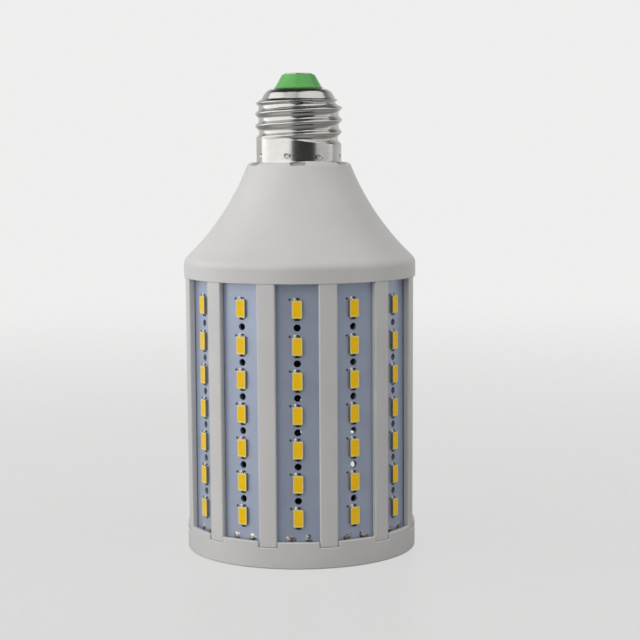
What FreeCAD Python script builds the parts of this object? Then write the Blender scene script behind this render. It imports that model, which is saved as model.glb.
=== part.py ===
import FreeCAD, Part
import math
import os
from FreeCAD import Vector

# A corn lamp on a screw cap, in millimetres. +Z runs from the base ring to the cap, the
# origin is the centre of the ring's underside, and the first strip of diodes faces -Y.

# The cage: ribs of the housing with a window between each pair, open down to the ring.
CAGE_RADIUS = 34.83          # outside of the ribs, under the skirt
WINDOW_HEIGHT = 74.75        # from the lip of the ring up to the skirt
WINDOW_DEPTH = 2.73          # from the outside of the ribs in to the face of the strips

# Strips: aluminium boards that stand in a circle behind the windows.
STRIPS = 12
STRIP_THICKNESS = 1.0
STRIP_LAP = 2.0              # how far a strip reaches up behind the skirt
SLOT_CLEARANCE = 0.12        # all round a strip in its slots

# Diodes on a strip: one near the top, and as many under it as fit, from the bottom up.
DIODE_PITCH = 10.0
LOWEST_DIODE = 6.69          # centre of the lowest diode above the lip of the ring
TOP_MARGIN = 7.36            # from the centre of the top diode up to the skirt
DIODE_LENGTH = 5.16
DIODE_WIDTH = 3.0
DIODE_HEIGHT = 0.9
CUP_MARGIN = 0.35            # rim of a diode round its filled cup
CUP_DEPTH = 0.12
TERMINAL_WIDTH = 1.9         # metal tabs at the ends of a diode
TERMINAL_LENGTH = 0.27
TERMINAL_HEIGHT = 0.35
VENT_DIAMETER = 2.1          # hole through a strip between two diodes

# Wires that link neighbouring strips, soldered in holes near the strips' lower ends.
LINK_HOLE_LEFT = -2.3
LINK_HOLE_RIGHT = 3.0
LINK_HEIGHT = 0.45           # centre of the holes above the lip of the ring
LINK_WIRE = 0.9
LINK_DEPTH = 2.6             # how far behind the strips a link runs
SOLDER_DIAMETER = 2.0
SOLDER_HEIGHT = 0.55

# Ribs: they hold the strips between a flange outside, a web and a flange inside.
RIB_BACK = 1.6               # inside of the ribs behind the strips
RIB_WEB = 0.83               # thinnest part, between two strips
RIB_LAP = 1.6                # how far a rib covers the edge of a strip
RIB_BACK_LAP = 2.0
CAGE_DRAFT = 0.0042          # the ribs taper towards the ring by this much per millimetre
RIB_EDGE = 0.45              # rounding of the outer edges

# Base ring, with a lip before the strips and a notch for each rib.
RING_STEP = 0.08             # the ring is this much smaller than the ribs under the skirt
RING_LIP = 7.85              # height of the lip
LIP_WALL = 1.6               # the lip stands clear of the solder on the strips
RING_SEAT = 6.15             # level on which the ribs and strips stand
RING_EDGE = 0.5              # rounding of the outer edges
NOTCH_GAP = 0.2
FOOT_WIDTH = 3.75
LEDGE_WIDTH = 3.5
LEDGE_HEIGHT = 3.4           # face of the ledge that the end board lies against

# End board with its own diodes, held by screws in bosses of the ring.
END_BOARD_CLEARANCE = 0.2
END_BOARD_THICKNESS = 1.2
END_OUTER_DIODES = 10
END_OUTER_INSET = 10.5       # their circle lies this far inside the foot
END_INNER_DIODES = 4
END_INNER_CIRCLE = 9.5
END_OUTER_TURN = 0.5         # share of a step by which the outer diodes are turned
END_WIRE_HOLE = 1.3
END_WIRE_SPACING = 4.0
SCREWS = 3
SCREW_INSET = 3.2            # the screws stand this far inside the foot
SCREW_DIAMETER = 2.2
SCREW_HEAD_DIAMETER = 4.2
SCREW_HEAD_HEIGHT = 1.3
SCREW_HEAD_ROUND = 0.8
SCREW_LENGTH = 4.0           # of the shank in the boss
SCREW_SPARE = 0.3            # depth of the hole beyond the shank
SCREW_HOLE_CLEARANCE = 0.15
BOSS_WALL = 1.8
BOSS_HEIGHT = 1.6            # above the seat of the ring

# Housing above the ribs: the skirt, the flared cone and the neck.
SKIRT_STEP = 0.22            # the skirt stands out from the ribs
SKIRT_HEIGHT = 3.83          # straight part of the skirt
SKIRT_ROUND = 3.2            # rounding between the skirt and the cone
SKIRT_EDGE = 0.12
CONE_START_ANGLE = 46.4      # of the hollow cone against the axis, at the skirt
CONE_END_ANGLE = 21.9        # and at the neck
NECK_MARGIN = 2.955          # the flare ends this far outside the cap
NECK_FLAT = 0.05             # straight stretch between the flare and the rounding of the neck
NECK_ROUND = 1.8
WALL = 1.8
NECK_WALL = 2.4
NOTCHES = 6                  # marks in the top of the neck, beside the cap
NECK_NOTCH_WIDTH = 4.65
NECK_NOTCH_DEPTH = 0.95
NECK_NOTCH_REACH = 2.75      # outwards from the cap, through the rounding of the neck
NECK_NOTCH_CORNER = 0.7
RAIL_GROOVE = 1.0            # depth of the grooves that hold the driver
RAIL_THICKNESS = 4.4
RAIL_LENGTH = 22.0
RAIL_DROP = 3.0              # from the top of the neck down to the top of the rails

# Cap: a thin rolled shell on the spigot of the housing, with an insulator and a contact.
CAP_RADIUS = 12.8
CAP_WALL = 0.3
CAP_SKIRT = 5.2              # plain band under the thread
THREAD_PROUD = 0.25          # crest of the thread outside the plain band
THREAD_DEPTH = 0.95
THREAD_PITCH = 3.629
THREAD_TURNS = 4             # rounded rings, the last of them smaller, where the thread ends
RUN_OUT_GROOVE = 0.9         # how much deeper the last groove is
RUN_OUT_CREST = 1.2          # how much lower the last crest is
SHOULDER_RISE = 2.1
SHOULDER_FOOT = 2.3          # foot of the sloping shoulder, inside the plain band
SHOULDER_SLOPE = 1.15        # height of the shoulder's straight slope
SHOULDER_LEAN = 0.62         # how far the slope leans in
SHOULDER_INSET = 4.5         # the shoulder's flat top begins this far inside the plain band
CAP_HOLE_INSET = 1.9         # edge of the hole, inside the start of the flat top
SPIGOT_CLEARANCE = 0.1
SPIGOT_WALL = 1.5
SPIGOT_TIP = 6.8             # part of the spigot above the plain band
FLANGE_INSET = 0.6           # the insulator's flange lies this far inside the shoulder
FLANGE_HEIGHT = 1.7
INSULATOR_LAP = 0.9          # the insulator's cone covers the edge of the shell by this much
INSULATOR_TAPER = 2.4        # difference of its base and top radius
INSULATOR_HEIGHT = 4.4
INSULATOR_FOOT_EDGE = 0.25
INSULATOR_TOP_EDGE = 0.2
CONTACT_RIM = 0.6            # rim of the insulator round the contact
CONTACT_THICKNESS = 0.7
CONTACT_PROUD = 0.35
CONTACT_EDGE = 0.28
CONTACT_STEM = 1.1
STEM_LENGTH = 8.0

# Driver: a board in the rails of the housing, with its components on the front.
DRIVER_MARGIN = 0.8          # the board is narrower than the cap by this much on each side
DRIVER_LENGTH = 50.0
DRIVER_THICKNESS = 1.6
RAIL_CLEARANCE = 0.15
COMPONENT_EDGE = 0.4
CORE_SIZE = (16.0, 12.0, 13.0)
CORE_PLATE = 2.6
WINDING_RADIUS = 4.9
FILTER_RADIUS = 4.0
FILTER_HEIGHT = 9.0
OUTPUT_RADIUS = 5.0
OUTPUT_HEIGHT = 16.0
INPUT_SIZE = (12.0, 6.0, 10.0)
RECTIFIER_SIZE = (6.4, 2.5, 4.8)
CHIP_SIZE = (5.0, 1.6, 4.0)
FUSE_RADIUS = 1.5
FUSE_LENGTH = 8.0
FUSE_DROP = 2.0              # from the top of the board to the middle of the fuse
PART_GAP = 0.6               # between one component and the next below it

# Wires inside the lamp.
WIRE = 1.3
WIRE_LAP = 4.0               # length of a wire's end on the driver board
WIRE_RUN = 14.0              # first straight run of a supply wire below the board
WIRE_RISE = 14.0             # last straight run above the end board
WIRE_BOW = 4.0               # slack of a supply wire, forwards
WIRE_EDGE = 0.1              # from a supply wire to the side edge of the board
SPIGOT_ROOM = 2.0            # from the spigot's bore to the middle of the shell's wire

# Sizes and levels that follow from the values above.
STEP_ANGLE = 360.0 / STRIPS
STRIP_FACE = CAGE_RADIUS - WINDOW_DEPTH
STRIP_BACK = STRIP_FACE - STRIP_THICKNESS
STRIP_WIDTH = 2 * (STRIP_BACK * math.tan(math.pi / STRIPS) - SLOT_CLEARANCE) - RIB_WEB
WINDOW_WIDTH = STRIP_WIDTH - 2 * RIB_LAP
BACK_WINDOW_WIDTH = STRIP_WIDTH - 2 * RIB_BACK_LAP
CAGE_INNER_RADIUS = STRIP_BACK - RIB_BACK
SKIRT_RADIUS = CAGE_RADIUS + SKIRT_STEP
RING_RADIUS = CAGE_RADIUS - RING_STEP
FOOT_INNER_RADIUS = RING_RADIUS - FOOT_WIDTH
BORE_RADIUS = FOOT_INNER_RADIUS - LEDGE_WIDTH
SCREW_CIRCLE = FOOT_INNER_RADIUS - SCREW_INSET
WINDOW_TOP = RING_LIP + WINDOW_HEIGHT
DIODES = 1 + math.floor((WINDOW_HEIGHT - LOWEST_DIODE - TOP_MARGIN) / DIODE_PITCH)
STRIP_TOP = WINDOW_TOP + STRIP_LAP
SKIRT_TOP = WINDOW_TOP + SKIRT_HEIGHT
LEDGE_THICKNESS = RING_SEAT - LEDGE_HEIGHT
LINK_LEVEL = RING_LIP + LINK_HEIGHT
THREAD_CREST = CAP_RADIUS + THREAD_PROUD
THREAD_ROOT = THREAD_CREST - THREAD_DEPTH
SPIGOT_BAND = CAP_RADIUS - CAP_WALL - SPIGOT_CLEARANCE
SPIGOT_END = THREAD_ROOT - CAP_WALL - SPIGOT_CLEARANCE
SPIGOT_BORE = SPIGOT_END - SPIGOT_WALL
SHOULDER_RADIUS = CAP_RADIUS - SHOULDER_INSET
CAP_HOLE = SHOULDER_RADIUS - CAP_HOLE_INSET
INSULATOR_BASE = CAP_HOLE + INSULATOR_LAP
INSULATOR_TOP = INSULATOR_BASE - INSULATOR_TAPER
CONTACT_RADIUS = INSULATOR_TOP - CONTACT_RIM
DRIVER_WIDTH = 2 * (CAP_RADIUS - DRIVER_MARGIN)
RAIL_INNER = DRIVER_WIDTH / 2 - RAIL_GROOVE
SUPPLY_SIDE = (DRIVER_WIDTH - WIRE) / 2 - WIRE_EDGE
PART_SIDE = SUPPLY_SIDE - WIRE / 2 - PART_GAP
FILTER_SIDE = FILTER_RADIUS - PART_SIDE
OUTPUT_SIDE = PART_SIDE - OUTPUT_RADIUS


def turned(shape, degrees):
    """A copy of the shape, turned about the lamp's axis."""
    copy = shape.copy()
    copy.rotate(Vector(0, 0, 0), Vector(0, 0, 1), degrees)
    return copy


def block(x0, x1, y0, y1, z0, z1):
    """A box between two corners."""
    return Part.makeBox(x1 - x0, y1 - y0, z1 - z0, Vector(x0, y0, z0))


def before(half_width, near, far, z0, z1):
    """A box across the front strip's middle, from near to far along -Y."""
    return block(-half_width, half_width, -far, -near, z0, z1)


def rod(radius, start, end):
    """A round rod between two points."""
    along = end.sub(start)
    return Part.makeCylinder(radius, along.Length, start, along)


def spun(wire):
    """The solid that a closed outline in the XZ plane sweeps about the axis."""
    return Part.Face(wire).revolve(Vector(0, 0, 0), Vector(0, 0, 1), 360)


def at(radius, height):
    """A point of an outline in the XZ plane."""
    return Vector(radius, 0, height)


def polyline(points):
    """Straight edges through the points."""
    return [Part.LineSegment(a, b).toShape() for a, b in zip(points, points[1:])]


def arc(start, middle, end):
    return Part.Arc(start, middle, end).toShape()


def corner(before_corner, corner_point, after_corner, radius):
    """The start, middle and end of the arc that rounds a corner of an outline."""
    towards = before_corner.sub(corner_point).normalize()
    away = after_corner.sub(corner_point).normalize()
    half = towards.getAngle(away) / 2
    reach = radius / math.tan(half)
    start = corner_point + towards * reach
    end = corner_point + away * reach
    bisector = (towards + away).normalize()
    middle = corner_point + bisector * (radius / math.sin(half) - radius)
    return start, middle, end


def rounded(points, radii):
    """A closed wire through the points, each corner rounded by its own radius or left sharp."""
    count = len(points)
    edges = []
    last = None
    first = None
    for index in range(count):
        point = points[index]
        if radii.get(index):
            start, middle, end = corner(points[index - 1], point, points[(index + 1) % count],
                                        radii[index])
        else:
            start = middle = end = point
        if last is None:
            first = start
        elif last.distanceToPoint(start) > 1e-7:
            edges.append(Part.LineSegment(last, start).toShape())
        if radii.get(index):
            edges.append(arc(start, middle, end))
        last = end
    edges.append(Part.LineSegment(last, first).toShape())
    return Part.Wire(edges)


def wire_path(points, diameter):
    """A round wire along straight runs joined by arcs as large as the runs allow."""
    edges = []
    last = points[0]
    for a, b, c in zip(points, points[1:], points[2:]):
        into = a.sub(b)
        out = c.sub(b)
        half = into.getAngle(out) / 2
        radius = 0.45 * min(into.Length, out.Length) * math.tan(half)
        start, middle, end = corner(a, b, c, radius)
        edges.append(Part.LineSegment(last, start).toShape())
        edges.append(arc(start, middle, end))
        last = end
    edges.append(Part.LineSegment(last, points[-1]).toShape())
    path = Part.Wire(edges)
    heading = points[1].sub(points[0])
    section = Part.Wire(Part.Circle(points[0], heading, diameter / 2).toShape())
    return path.makePipeShell([section], True, False)


def flare():
    """Radius and centre of the cone's hollow curve, from the skirt to the neck.

    The curve is an arc about a point outside the lamp. It starts where its tangent, drawn on
    to the skirt, meets the skirt's rounded corner, and it ends at the neck.
    """
    start_angle = math.radians(CONE_START_ANGLE)
    end_angle = math.radians(CONE_END_ANGLE)
    reach = SKIRT_ROUND * math.tan(start_angle / 2)
    start = at(SKIRT_RADIUS - reach * math.sin(start_angle),
               SKIRT_TOP + reach + reach * math.cos(start_angle))
    across = start.x - CAP_RADIUS - NECK_MARGIN
    radius = across / (math.cos(end_angle) - math.cos(start_angle))
    centre = start + at(math.cos(start_angle), math.sin(start_angle)) * radius
    return radius, centre


def on_flare(depth, degrees):
    """A point of the flare where it stands at this angle to the axis, this deep in its wall."""
    turn = math.radians(degrees)
    return CONE_CENTRE - at(math.cos(turn), math.sin(turn)) * (CONE_RADIUS + depth)


def flare_turn(depth, radius):
    """The angle to the axis of the flare, this deep in its wall, where it has this radius."""
    return math.degrees(math.acos((CONE_CENTRE.x - radius) / (CONE_RADIUS + depth)))


CONE_RADIUS, CONE_CENTRE = flare()
FLARE_START = on_flare(0, CONE_START_ANGLE)
FLARE_END = on_flare(0, CONE_END_ANGLE)
NECK_TOP = FLARE_END.z + math.cos(math.radians(CONE_END_ANGLE)) * (
    NECK_FLAT + NECK_ROUND * math.tan(math.radians(90 - CONE_END_ANGLE) / 2))
CAP_BASE = NECK_TOP
THREAD_BASE = CAP_BASE + CAP_SKIRT
THREAD_TOP = THREAD_BASE + THREAD_TURNS * THREAD_PITCH
SHOULDER_TOP = THREAD_TOP + SHOULDER_RISE
CONTACT_TOP = SHOULDER_TOP + INSULATOR_HEIGHT + CONTACT_PROUD
RAIL_TOP = NECK_TOP - RAIL_DROP
DRIVER_BOTTOM = RAIL_TOP - DRIVER_LENGTH
DRIVER_FACE = -DRIVER_THICKNESS / 2
WIRE_PLANE = DRIVER_FACE - WIRE / 2


def rib_radius(height):
    """Outside of the ribs at a height, with their draft."""
    return CAGE_RADIUS - CAGE_DRAFT * (WINDOW_TOP - height)


def housing_outline():
    """Half section of the housing before its windows and slots are cut."""
    end_turn = math.radians(CONE_END_ANGLE)
    neck_corner = at(FLARE_END.x - (NECK_TOP - FLARE_END.z) * math.tan(end_turn), NECK_TOP)
    neck = corner(FLARE_END, neck_corner, at(0, NECK_TOP), NECK_ROUND)
    start_turn = math.radians(CONE_START_ANGLE)
    skirt_corner = at(SKIRT_RADIUS, SKIRT_TOP + SKIRT_ROUND * math.tan(start_turn / 2))
    skirt = corner(at(SKIRT_RADIUS, WINDOW_TOP), skirt_corner, FLARE_START, SKIRT_ROUND)
    edge = corner(at(CAGE_RADIUS, WINDOW_TOP), at(SKIRT_RADIUS, WINDOW_TOP), skirt[0], SKIRT_EDGE)
    band_top = THREAD_BASE - THREAD_PITCH / 4 - CAP_WALL
    low_turn = flare_turn(WALL, CAGE_INNER_RADIUS)
    neck_inner = on_flare(WALL, CONE_END_ANGLE)
    cone_inner = on_flare(WALL, low_turn)
    edges = polyline([
        at(CAGE_INNER_RADIUS, RING_SEAT),
        at(rib_radius(RING_SEAT), RING_SEAT),
        at(CAGE_RADIUS, WINDOW_TOP),
        edge[0]])
    edges.append(arc(*edge))
    edges += polyline([edge[2], skirt[0]])
    edges.append(arc(*skirt))
    middle = on_flare(0, (CONE_START_ANGLE + CONE_END_ANGLE) / 2)
    edges.append(arc(FLARE_START, middle, FLARE_END))
    edges += polyline([FLARE_END, neck[0]])
    edges.append(arc(*neck))
    edges += polyline([
        neck[2],
        at(SPIGOT_BAND, NECK_TOP),
        at(SPIGOT_BAND, band_top),
        at(SPIGOT_END, band_top + SPIGOT_BAND - SPIGOT_END),
        at(SPIGOT_END, THREAD_BASE + SPIGOT_TIP),
        at(SPIGOT_BORE, THREAD_BASE + SPIGOT_TIP),
        at(SPIGOT_BORE, NECK_TOP - NECK_WALL),
        at(neck_inner.x, NECK_TOP - NECK_WALL),
        neck_inner])
    inner_middle = on_flare(WALL, (CONE_END_ANGLE + low_turn) / 2)
    edges.append(arc(neck_inner, inner_middle, cone_inner))
    edges += polyline([cone_inner, at(CAGE_INNER_RADIUS, RING_SEAT)])
    return Part.Wire(edges)


def rails():
    """Two webs inside the cone, grooved for the edges of the driver board."""
    bottom = RAIL_TOP - RAIL_LENGTH
    half = RAIL_THICKNESS / 2
    webs = block(RAIL_INNER, SKIRT_RADIUS, -half, half, bottom, RAIL_TOP)
    webs = webs.fuse(block(-SKIRT_RADIUS, -RAIL_INNER, -half, half, bottom, RAIL_TOP))
    root = WALL / 2
    low_turn = flare_turn(root, CAGE_INNER_RADIUS + root)
    low = on_flare(root, low_turn)
    high = on_flare(root, CONE_END_ANGLE)
    outline = [arc(low, on_flare(root, (CONE_END_ANGLE + low_turn) / 2), high)]
    outline += polyline([
        high,
        at(high.x, NECK_TOP),
        at(0, NECK_TOP),
        at(0, WINDOW_TOP),
        at(low.x, WINDOW_TOP),
        low])
    webs = webs.common(spun(Part.Wire(outline)))
    slot = DRIVER_WIDTH / 2 + RAIL_CLEARANCE
    gap = DRIVER_THICKNESS / 2 + RAIL_CLEARANCE
    return webs.cut(block(-slot, slot, -gap, gap, bottom - 1, RAIL_TOP + 1))


def housing():
    """The moulded body: ribs, skirt, cone and neck, open at twelve windows."""
    body = spun(housing_outline()).fuse(rails())
    low = RING_SEAT - 1
    slot_half = STRIP_WIDTH / 2 + SLOT_CLEARANCE
    cuts = []
    window = before(WINDOW_WIDTH / 2, STRIP_FACE, SKIRT_RADIUS + 1, low, WINDOW_TOP)
    slot = before(slot_half, STRIP_BACK - SLOT_CLEARANCE, STRIP_FACE + SLOT_CLEARANCE,
                  low, STRIP_TOP + SLOT_CLEARANCE)
    back = before(BACK_WINDOW_WIDTH / 2, CAGE_INNER_RADIUS - RIB_BACK, STRIP_BACK,
                  low, WINDOW_TOP - STRIP_LAP)
    opening = window.fuse([slot, back])
    for strip in range(STRIPS):
        cuts.append(turned(opening, strip * STEP_ANGLE))
    notch_half = NECK_NOTCH_WIDTH / 2
    notch = Part.Face(rounded([
        at(-notch_half, NECK_TOP + 1),
        at(notch_half, NECK_TOP + 1),
        at(notch_half, NECK_TOP - NECK_NOTCH_DEPTH),
        at(-notch_half, NECK_TOP - NECK_NOTCH_DEPTH)],
        {2: NECK_NOTCH_CORNER, 3: NECK_NOTCH_CORNER}))
    notch = notch.extrude(Vector(0, -CAP_RADIUS - NECK_NOTCH_REACH, 0))
    keep = Part.makeCylinder(SPIGOT_BAND, NECK_NOTCH_DEPTH + 2,
                             Vector(0, 0, NECK_TOP - NECK_NOTCH_DEPTH - 1))
    notch = notch.cut(keep)
    for index in range(NOTCHES):
        cuts.append(turned(notch, index * 360.0 / NOTCHES))
    body = body.cut(cuts)
    edges = [edge for edge in body.Edges if is_rib_edge(edge)]
    return body.makeFillet(RIB_EDGE, edges)


def is_rib_edge(edge):
    """True for the long outer edges of the ribs."""
    box = edge.BoundBox
    if box.ZLength < (WINDOW_TOP - RING_SEAT) / 2:
        return False
    middle = edge.valueAt((edge.FirstParameter + edge.LastParameter) / 2)
    return math.hypot(middle.x, middle.y) > rib_radius(middle.z) - RIB_EDGE / 10


def base_ring():
    """The ring under the ribs: foot, ledge for the end board, lip and screw bosses."""
    foot = spun(rounded([
        at(FOOT_INNER_RADIUS, 0),
        at(RING_RADIUS, 0),
        at(RING_RADIUS, RING_SEAT),
        at(BORE_RADIUS, RING_SEAT),
        at(BORE_RADIUS, LEDGE_HEIGHT),
        at(FOOT_INNER_RADIUS, LEDGE_HEIGHT)], {1: RING_EDGE}))
    half = WINDOW_WIDTH / 2 - NOTCH_GAP
    lip_block = before(half, RING_RADIUS - LIP_WALL, RING_RADIUS + 1, RING_SEAT, RING_LIP)
    lip_round = spun(rounded([
        at(BORE_RADIUS, RING_SEAT),
        at(RING_RADIUS, RING_SEAT),
        at(RING_RADIUS, RING_LIP),
        at(BORE_RADIUS, RING_LIP)], {2: RING_EDGE}))
    lip = lip_block.common(lip_round)
    parts = [turned(lip, strip * STEP_ANGLE) for strip in range(STRIPS)]
    boss_height = LEDGE_THICKNESS + BOSS_HEIGHT
    for point in screw_points():
        parts.append(Part.makeCylinder(SCREW_DIAMETER / 2 + BOSS_WALL, boss_height,
                                       Vector(point.x, point.y, LEDGE_HEIGHT)))
    ring = foot.fuse(parts).removeSplitter()
    holes = [Part.makeCylinder(SCREW_DIAMETER / 2, SCREW_LENGTH + SCREW_SPARE,
                               Vector(point.x, point.y, LEDGE_HEIGHT))
             for point in screw_points()]
    return ring.cut(holes)


def screw_points():
    """Axes of the end board's screws, each behind the middle of a strip."""
    points = []
    for index in range(SCREWS):
        angle = math.radians(index * 360.0 / SCREWS - 90)
        points.append(Vector(SCREW_CIRCLE * math.cos(angle), SCREW_CIRCLE * math.sin(angle), 0))
    return points


def end_wire_points():
    """Holes of the end board through which its two wires pass."""
    half = END_WIRE_SPACING / 2
    return [Vector(-half, 0, 0), Vector(half, 0, 0)]


def end_board():
    """The round board in the foot, drilled for screws and wires."""
    bottom = LEDGE_HEIGHT - END_BOARD_THICKNESS
    disc = Part.makeCylinder(FOOT_INNER_RADIUS - END_BOARD_CLEARANCE, END_BOARD_THICKNESS,
                             Vector(0, 0, bottom))
    screw_hole = SCREW_DIAMETER / 2 + SCREW_HOLE_CLEARANCE
    holes = [Part.makeCylinder(screw_hole, 4 * END_BOARD_THICKNESS,
                               Vector(point.x, point.y, bottom - END_BOARD_THICKNESS))
             for point in screw_points()]
    holes += [Part.makeCylinder(END_WIRE_HOLE / 2, 4 * END_BOARD_THICKNESS,
                                Vector(point.x, point.y, bottom - END_BOARD_THICKNESS))
              for point in end_wire_points()]
    return disc.cut(holes)


def screw(point):
    """A round-headed screw, up from the end board into a boss."""
    face = LEDGE_HEIGHT - END_BOARD_THICKNESS
    radius = SCREW_DIAMETER / 2
    head = SCREW_HEAD_DIAMETER / 2
    outline = rounded([
        at(0, face - SCREW_HEAD_HEIGHT),
        at(head, face - SCREW_HEAD_HEIGHT),
        at(head, face),
        at(radius, face),
        at(radius, LEDGE_HEIGHT + SCREW_LENGTH),
        at(0, LEDGE_HEIGHT + SCREW_LENGTH)], {1: SCREW_HEAD_ROUND})
    solid = spun(outline)
    solid.translate(point)
    return solid


def diode():
    """A diode lying on z = 0, long side along Y: its body, with a shallow cup, and its tabs."""
    half_width = DIODE_WIDTH / 2
    half_length = DIODE_LENGTH / 2
    reach = half_length + TERMINAL_LENGTH
    body = block(-half_width, half_width, -half_length, half_length, 0, DIODE_HEIGHT)
    body = body.fuse(block(-TERMINAL_WIDTH / 2, TERMINAL_WIDTH / 2, -reach, reach,
                           0, TERMINAL_HEIGHT))
    cup = block(CUP_MARGIN - half_width, half_width - CUP_MARGIN,
                CUP_MARGIN * 2 - half_length, half_length - CUP_MARGIN * 2,
                DIODE_HEIGHT - CUP_DEPTH, DIODE_HEIGHT + 1)
    return body.cut(cup)


def diode_heights():
    """Centres of the diodes on a strip, from the bottom up."""
    heights = [RING_LIP + LOWEST_DIODE + DIODE_PITCH * index for index in range(DIODES - 1)]
    heights.append(WINDOW_TOP - TOP_MARGIN)
    return heights


def strip_diodes():
    """The diodes of the front strip."""
    diodes = []
    for height in diode_heights():
        solid = diode()
        solid.rotate(Vector(0, 0, 0), Vector(1, 0, 0), 90)
        solid.translate(Vector(0, -STRIP_FACE, height))
        diodes.append(solid)
    return Part.makeCompound(diodes)


def strip_board():
    """The front strip, with its vent holes and the holes for the link wires."""
    board = before(STRIP_WIDTH / 2, STRIP_BACK, STRIP_FACE, RING_SEAT, STRIP_TOP)
    out = Vector(0, -1, 0)
    heights = diode_heights()
    holes = []
    for low, high in zip(heights, heights[1:]):
        holes.append(Part.makeCylinder(VENT_DIAMETER / 2, 3 * STRIP_THICKNESS,
                                       Vector(0, STRIP_THICKNESS - STRIP_BACK, (low + high) / 2),
                                       out))
    for side in (LINK_HOLE_LEFT, LINK_HOLE_RIGHT):
        holes.append(Part.makeCylinder(LINK_WIRE / 2, 3 * STRIP_THICKNESS,
                                       Vector(side, STRIP_THICKNESS - STRIP_BACK, LINK_LEVEL),
                                       out))
    return board.cut(holes)


def strip_solder():
    """Flattened drops of solder on the front strip, over the ends of the link wires."""
    drops = []
    radius = SOLDER_DIAMETER / 2
    ball = (radius ** 2 + SOLDER_HEIGHT ** 2) / (2 * SOLDER_HEIGHT)
    half_turn = math.asin(radius / ball) / 2
    middle = at(ball * math.sin(half_turn),
                SOLDER_HEIGHT - ball + ball * math.cos(half_turn))
    outline = Part.Wire(
        [arc(at(radius, 0), middle, at(0, SOLDER_HEIGHT))]
        + polyline([at(0, SOLDER_HEIGHT), at(0, 0), at(radius, 0)]))
    for side in (LINK_HOLE_LEFT, LINK_HOLE_RIGHT):
        drop = spun(outline)
        drop.rotate(Vector(0, 0, 0), Vector(1, 0, 0), 90)
        drop.translate(Vector(side, -STRIP_FACE, LINK_LEVEL))
        drops.append(drop)
    return drops


def link_wires():
    """Wires behind the strips, each from one strip to the next, past the rib between them."""
    wires = []
    inner = STRIP_BACK - LINK_DEPTH
    height = LINK_LEVEL
    next_turn = math.radians(STEP_ANGLE)
    inner_end = Vector(LINK_HOLE_LEFT * math.cos(next_turn) + inner * math.sin(next_turn),
                       LINK_HOLE_LEFT * math.sin(next_turn) - inner * math.cos(next_turn),
                       height)
    outer_end = Vector(LINK_HOLE_LEFT * math.cos(next_turn) + STRIP_FACE * math.sin(next_turn),
                       LINK_HOLE_LEFT * math.sin(next_turn) - STRIP_FACE * math.cos(next_turn),
                       height)
    link = wire_path([Vector(LINK_HOLE_RIGHT, -STRIP_FACE, height),
                      Vector(LINK_HOLE_RIGHT, -inner, height),
                      inner_end,
                      outer_end], LINK_WIRE)
    for strip in range(STRIPS):
        wires.append(turned(link, strip * STEP_ANGLE))
    return wires


def cap_profile(inset):
    """The shell's section, inset from its outside, with rounded rings for its thread."""
    band = CAP_RADIUS - inset
    middle = (THREAD_CREST + THREAD_ROOT) / 2 - inset
    last_root = THREAD_ROOT - RUN_OUT_GROOVE - inset
    last_crest = THREAD_CREST - RUN_OUT_CREST - inset
    foot = at(CAP_RADIUS - SHOULDER_FOOT - inset, THREAD_TOP)
    half = THREAD_PITCH / 2
    edges = polyline([
        at(band, CAP_BASE),
        at(band, THREAD_BASE - half / 2),
        at(middle, THREAD_BASE)])
    for turn in range(THREAD_TURNS):
        level = THREAD_BASE + turn * THREAD_PITCH
        last = turn == THREAD_TURNS - 1
        root = last_root if last else THREAD_ROOT - inset
        crest = last_crest if last else THREAD_CREST - inset
        between = at((root + crest) / 2, level + half)
        end = foot if last else at(middle, level + 2 * half)
        edges.append(arc(at(middle, level), at(root, level + half / 2), between))
        edges.append(arc(between, at(crest, level + 1.5 * half), end))
    slope_end = foot + at(-SHOULDER_LEAN, SHOULDER_SLOPE)
    top = at(SHOULDER_RADIUS, SHOULDER_TOP - inset)
    bend = math.radians(45)
    shoulder = at(top.x + (slope_end.x - top.x) * math.cos(bend),
                  slope_end.z + (top.z - slope_end.z) * math.sin(bend))
    edges += polyline([foot, slope_end])
    edges.append(arc(slope_end, shoulder, top))
    edges += polyline([top, at(CAP_HOLE, top.z)])
    return edges


def screw_shell():
    """The thin rolled shell of the cap, with a hole in its top for the insulator."""
    outer = cap_profile(0)
    inner = cap_profile(CAP_WALL)
    bottom = polyline([at(CAP_RADIUS, CAP_BASE), at(CAP_RADIUS - CAP_WALL, CAP_BASE)])
    top = polyline([at(CAP_HOLE, SHOULDER_TOP), at(CAP_HOLE, SHOULDER_TOP - CAP_WALL)])
    return spun(Part.Wire(Part.__sortEdges__(outer + top + inner + bottom)))


def cap_insulator():
    """The moulded insulator: a flange inside the shell and a cone outside it."""
    low = SHOULDER_TOP - CAP_WALL - FLANGE_HEIGHT
    flange = SHOULDER_RADIUS - FLANGE_INSET
    high = SHOULDER_TOP + INSULATOR_HEIGHT
    seat = CONTACT_THICKNESS - CONTACT_PROUD
    return spun(rounded([
        at(CONTACT_STEM, low),
        at(flange, low),
        at(flange, SHOULDER_TOP - CAP_WALL),
        at(CAP_HOLE, SHOULDER_TOP - CAP_WALL),
        at(CAP_HOLE, SHOULDER_TOP),
        at(INSULATOR_BASE, SHOULDER_TOP),
        at(INSULATOR_TOP, high),
        at(CONTACT_RADIUS, high),
        at(CONTACT_RADIUS, high - seat),
        at(CONTACT_STEM, high - seat)], {5: INSULATOR_FOOT_EDGE, 6: INSULATOR_TOP_EDGE}))


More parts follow.
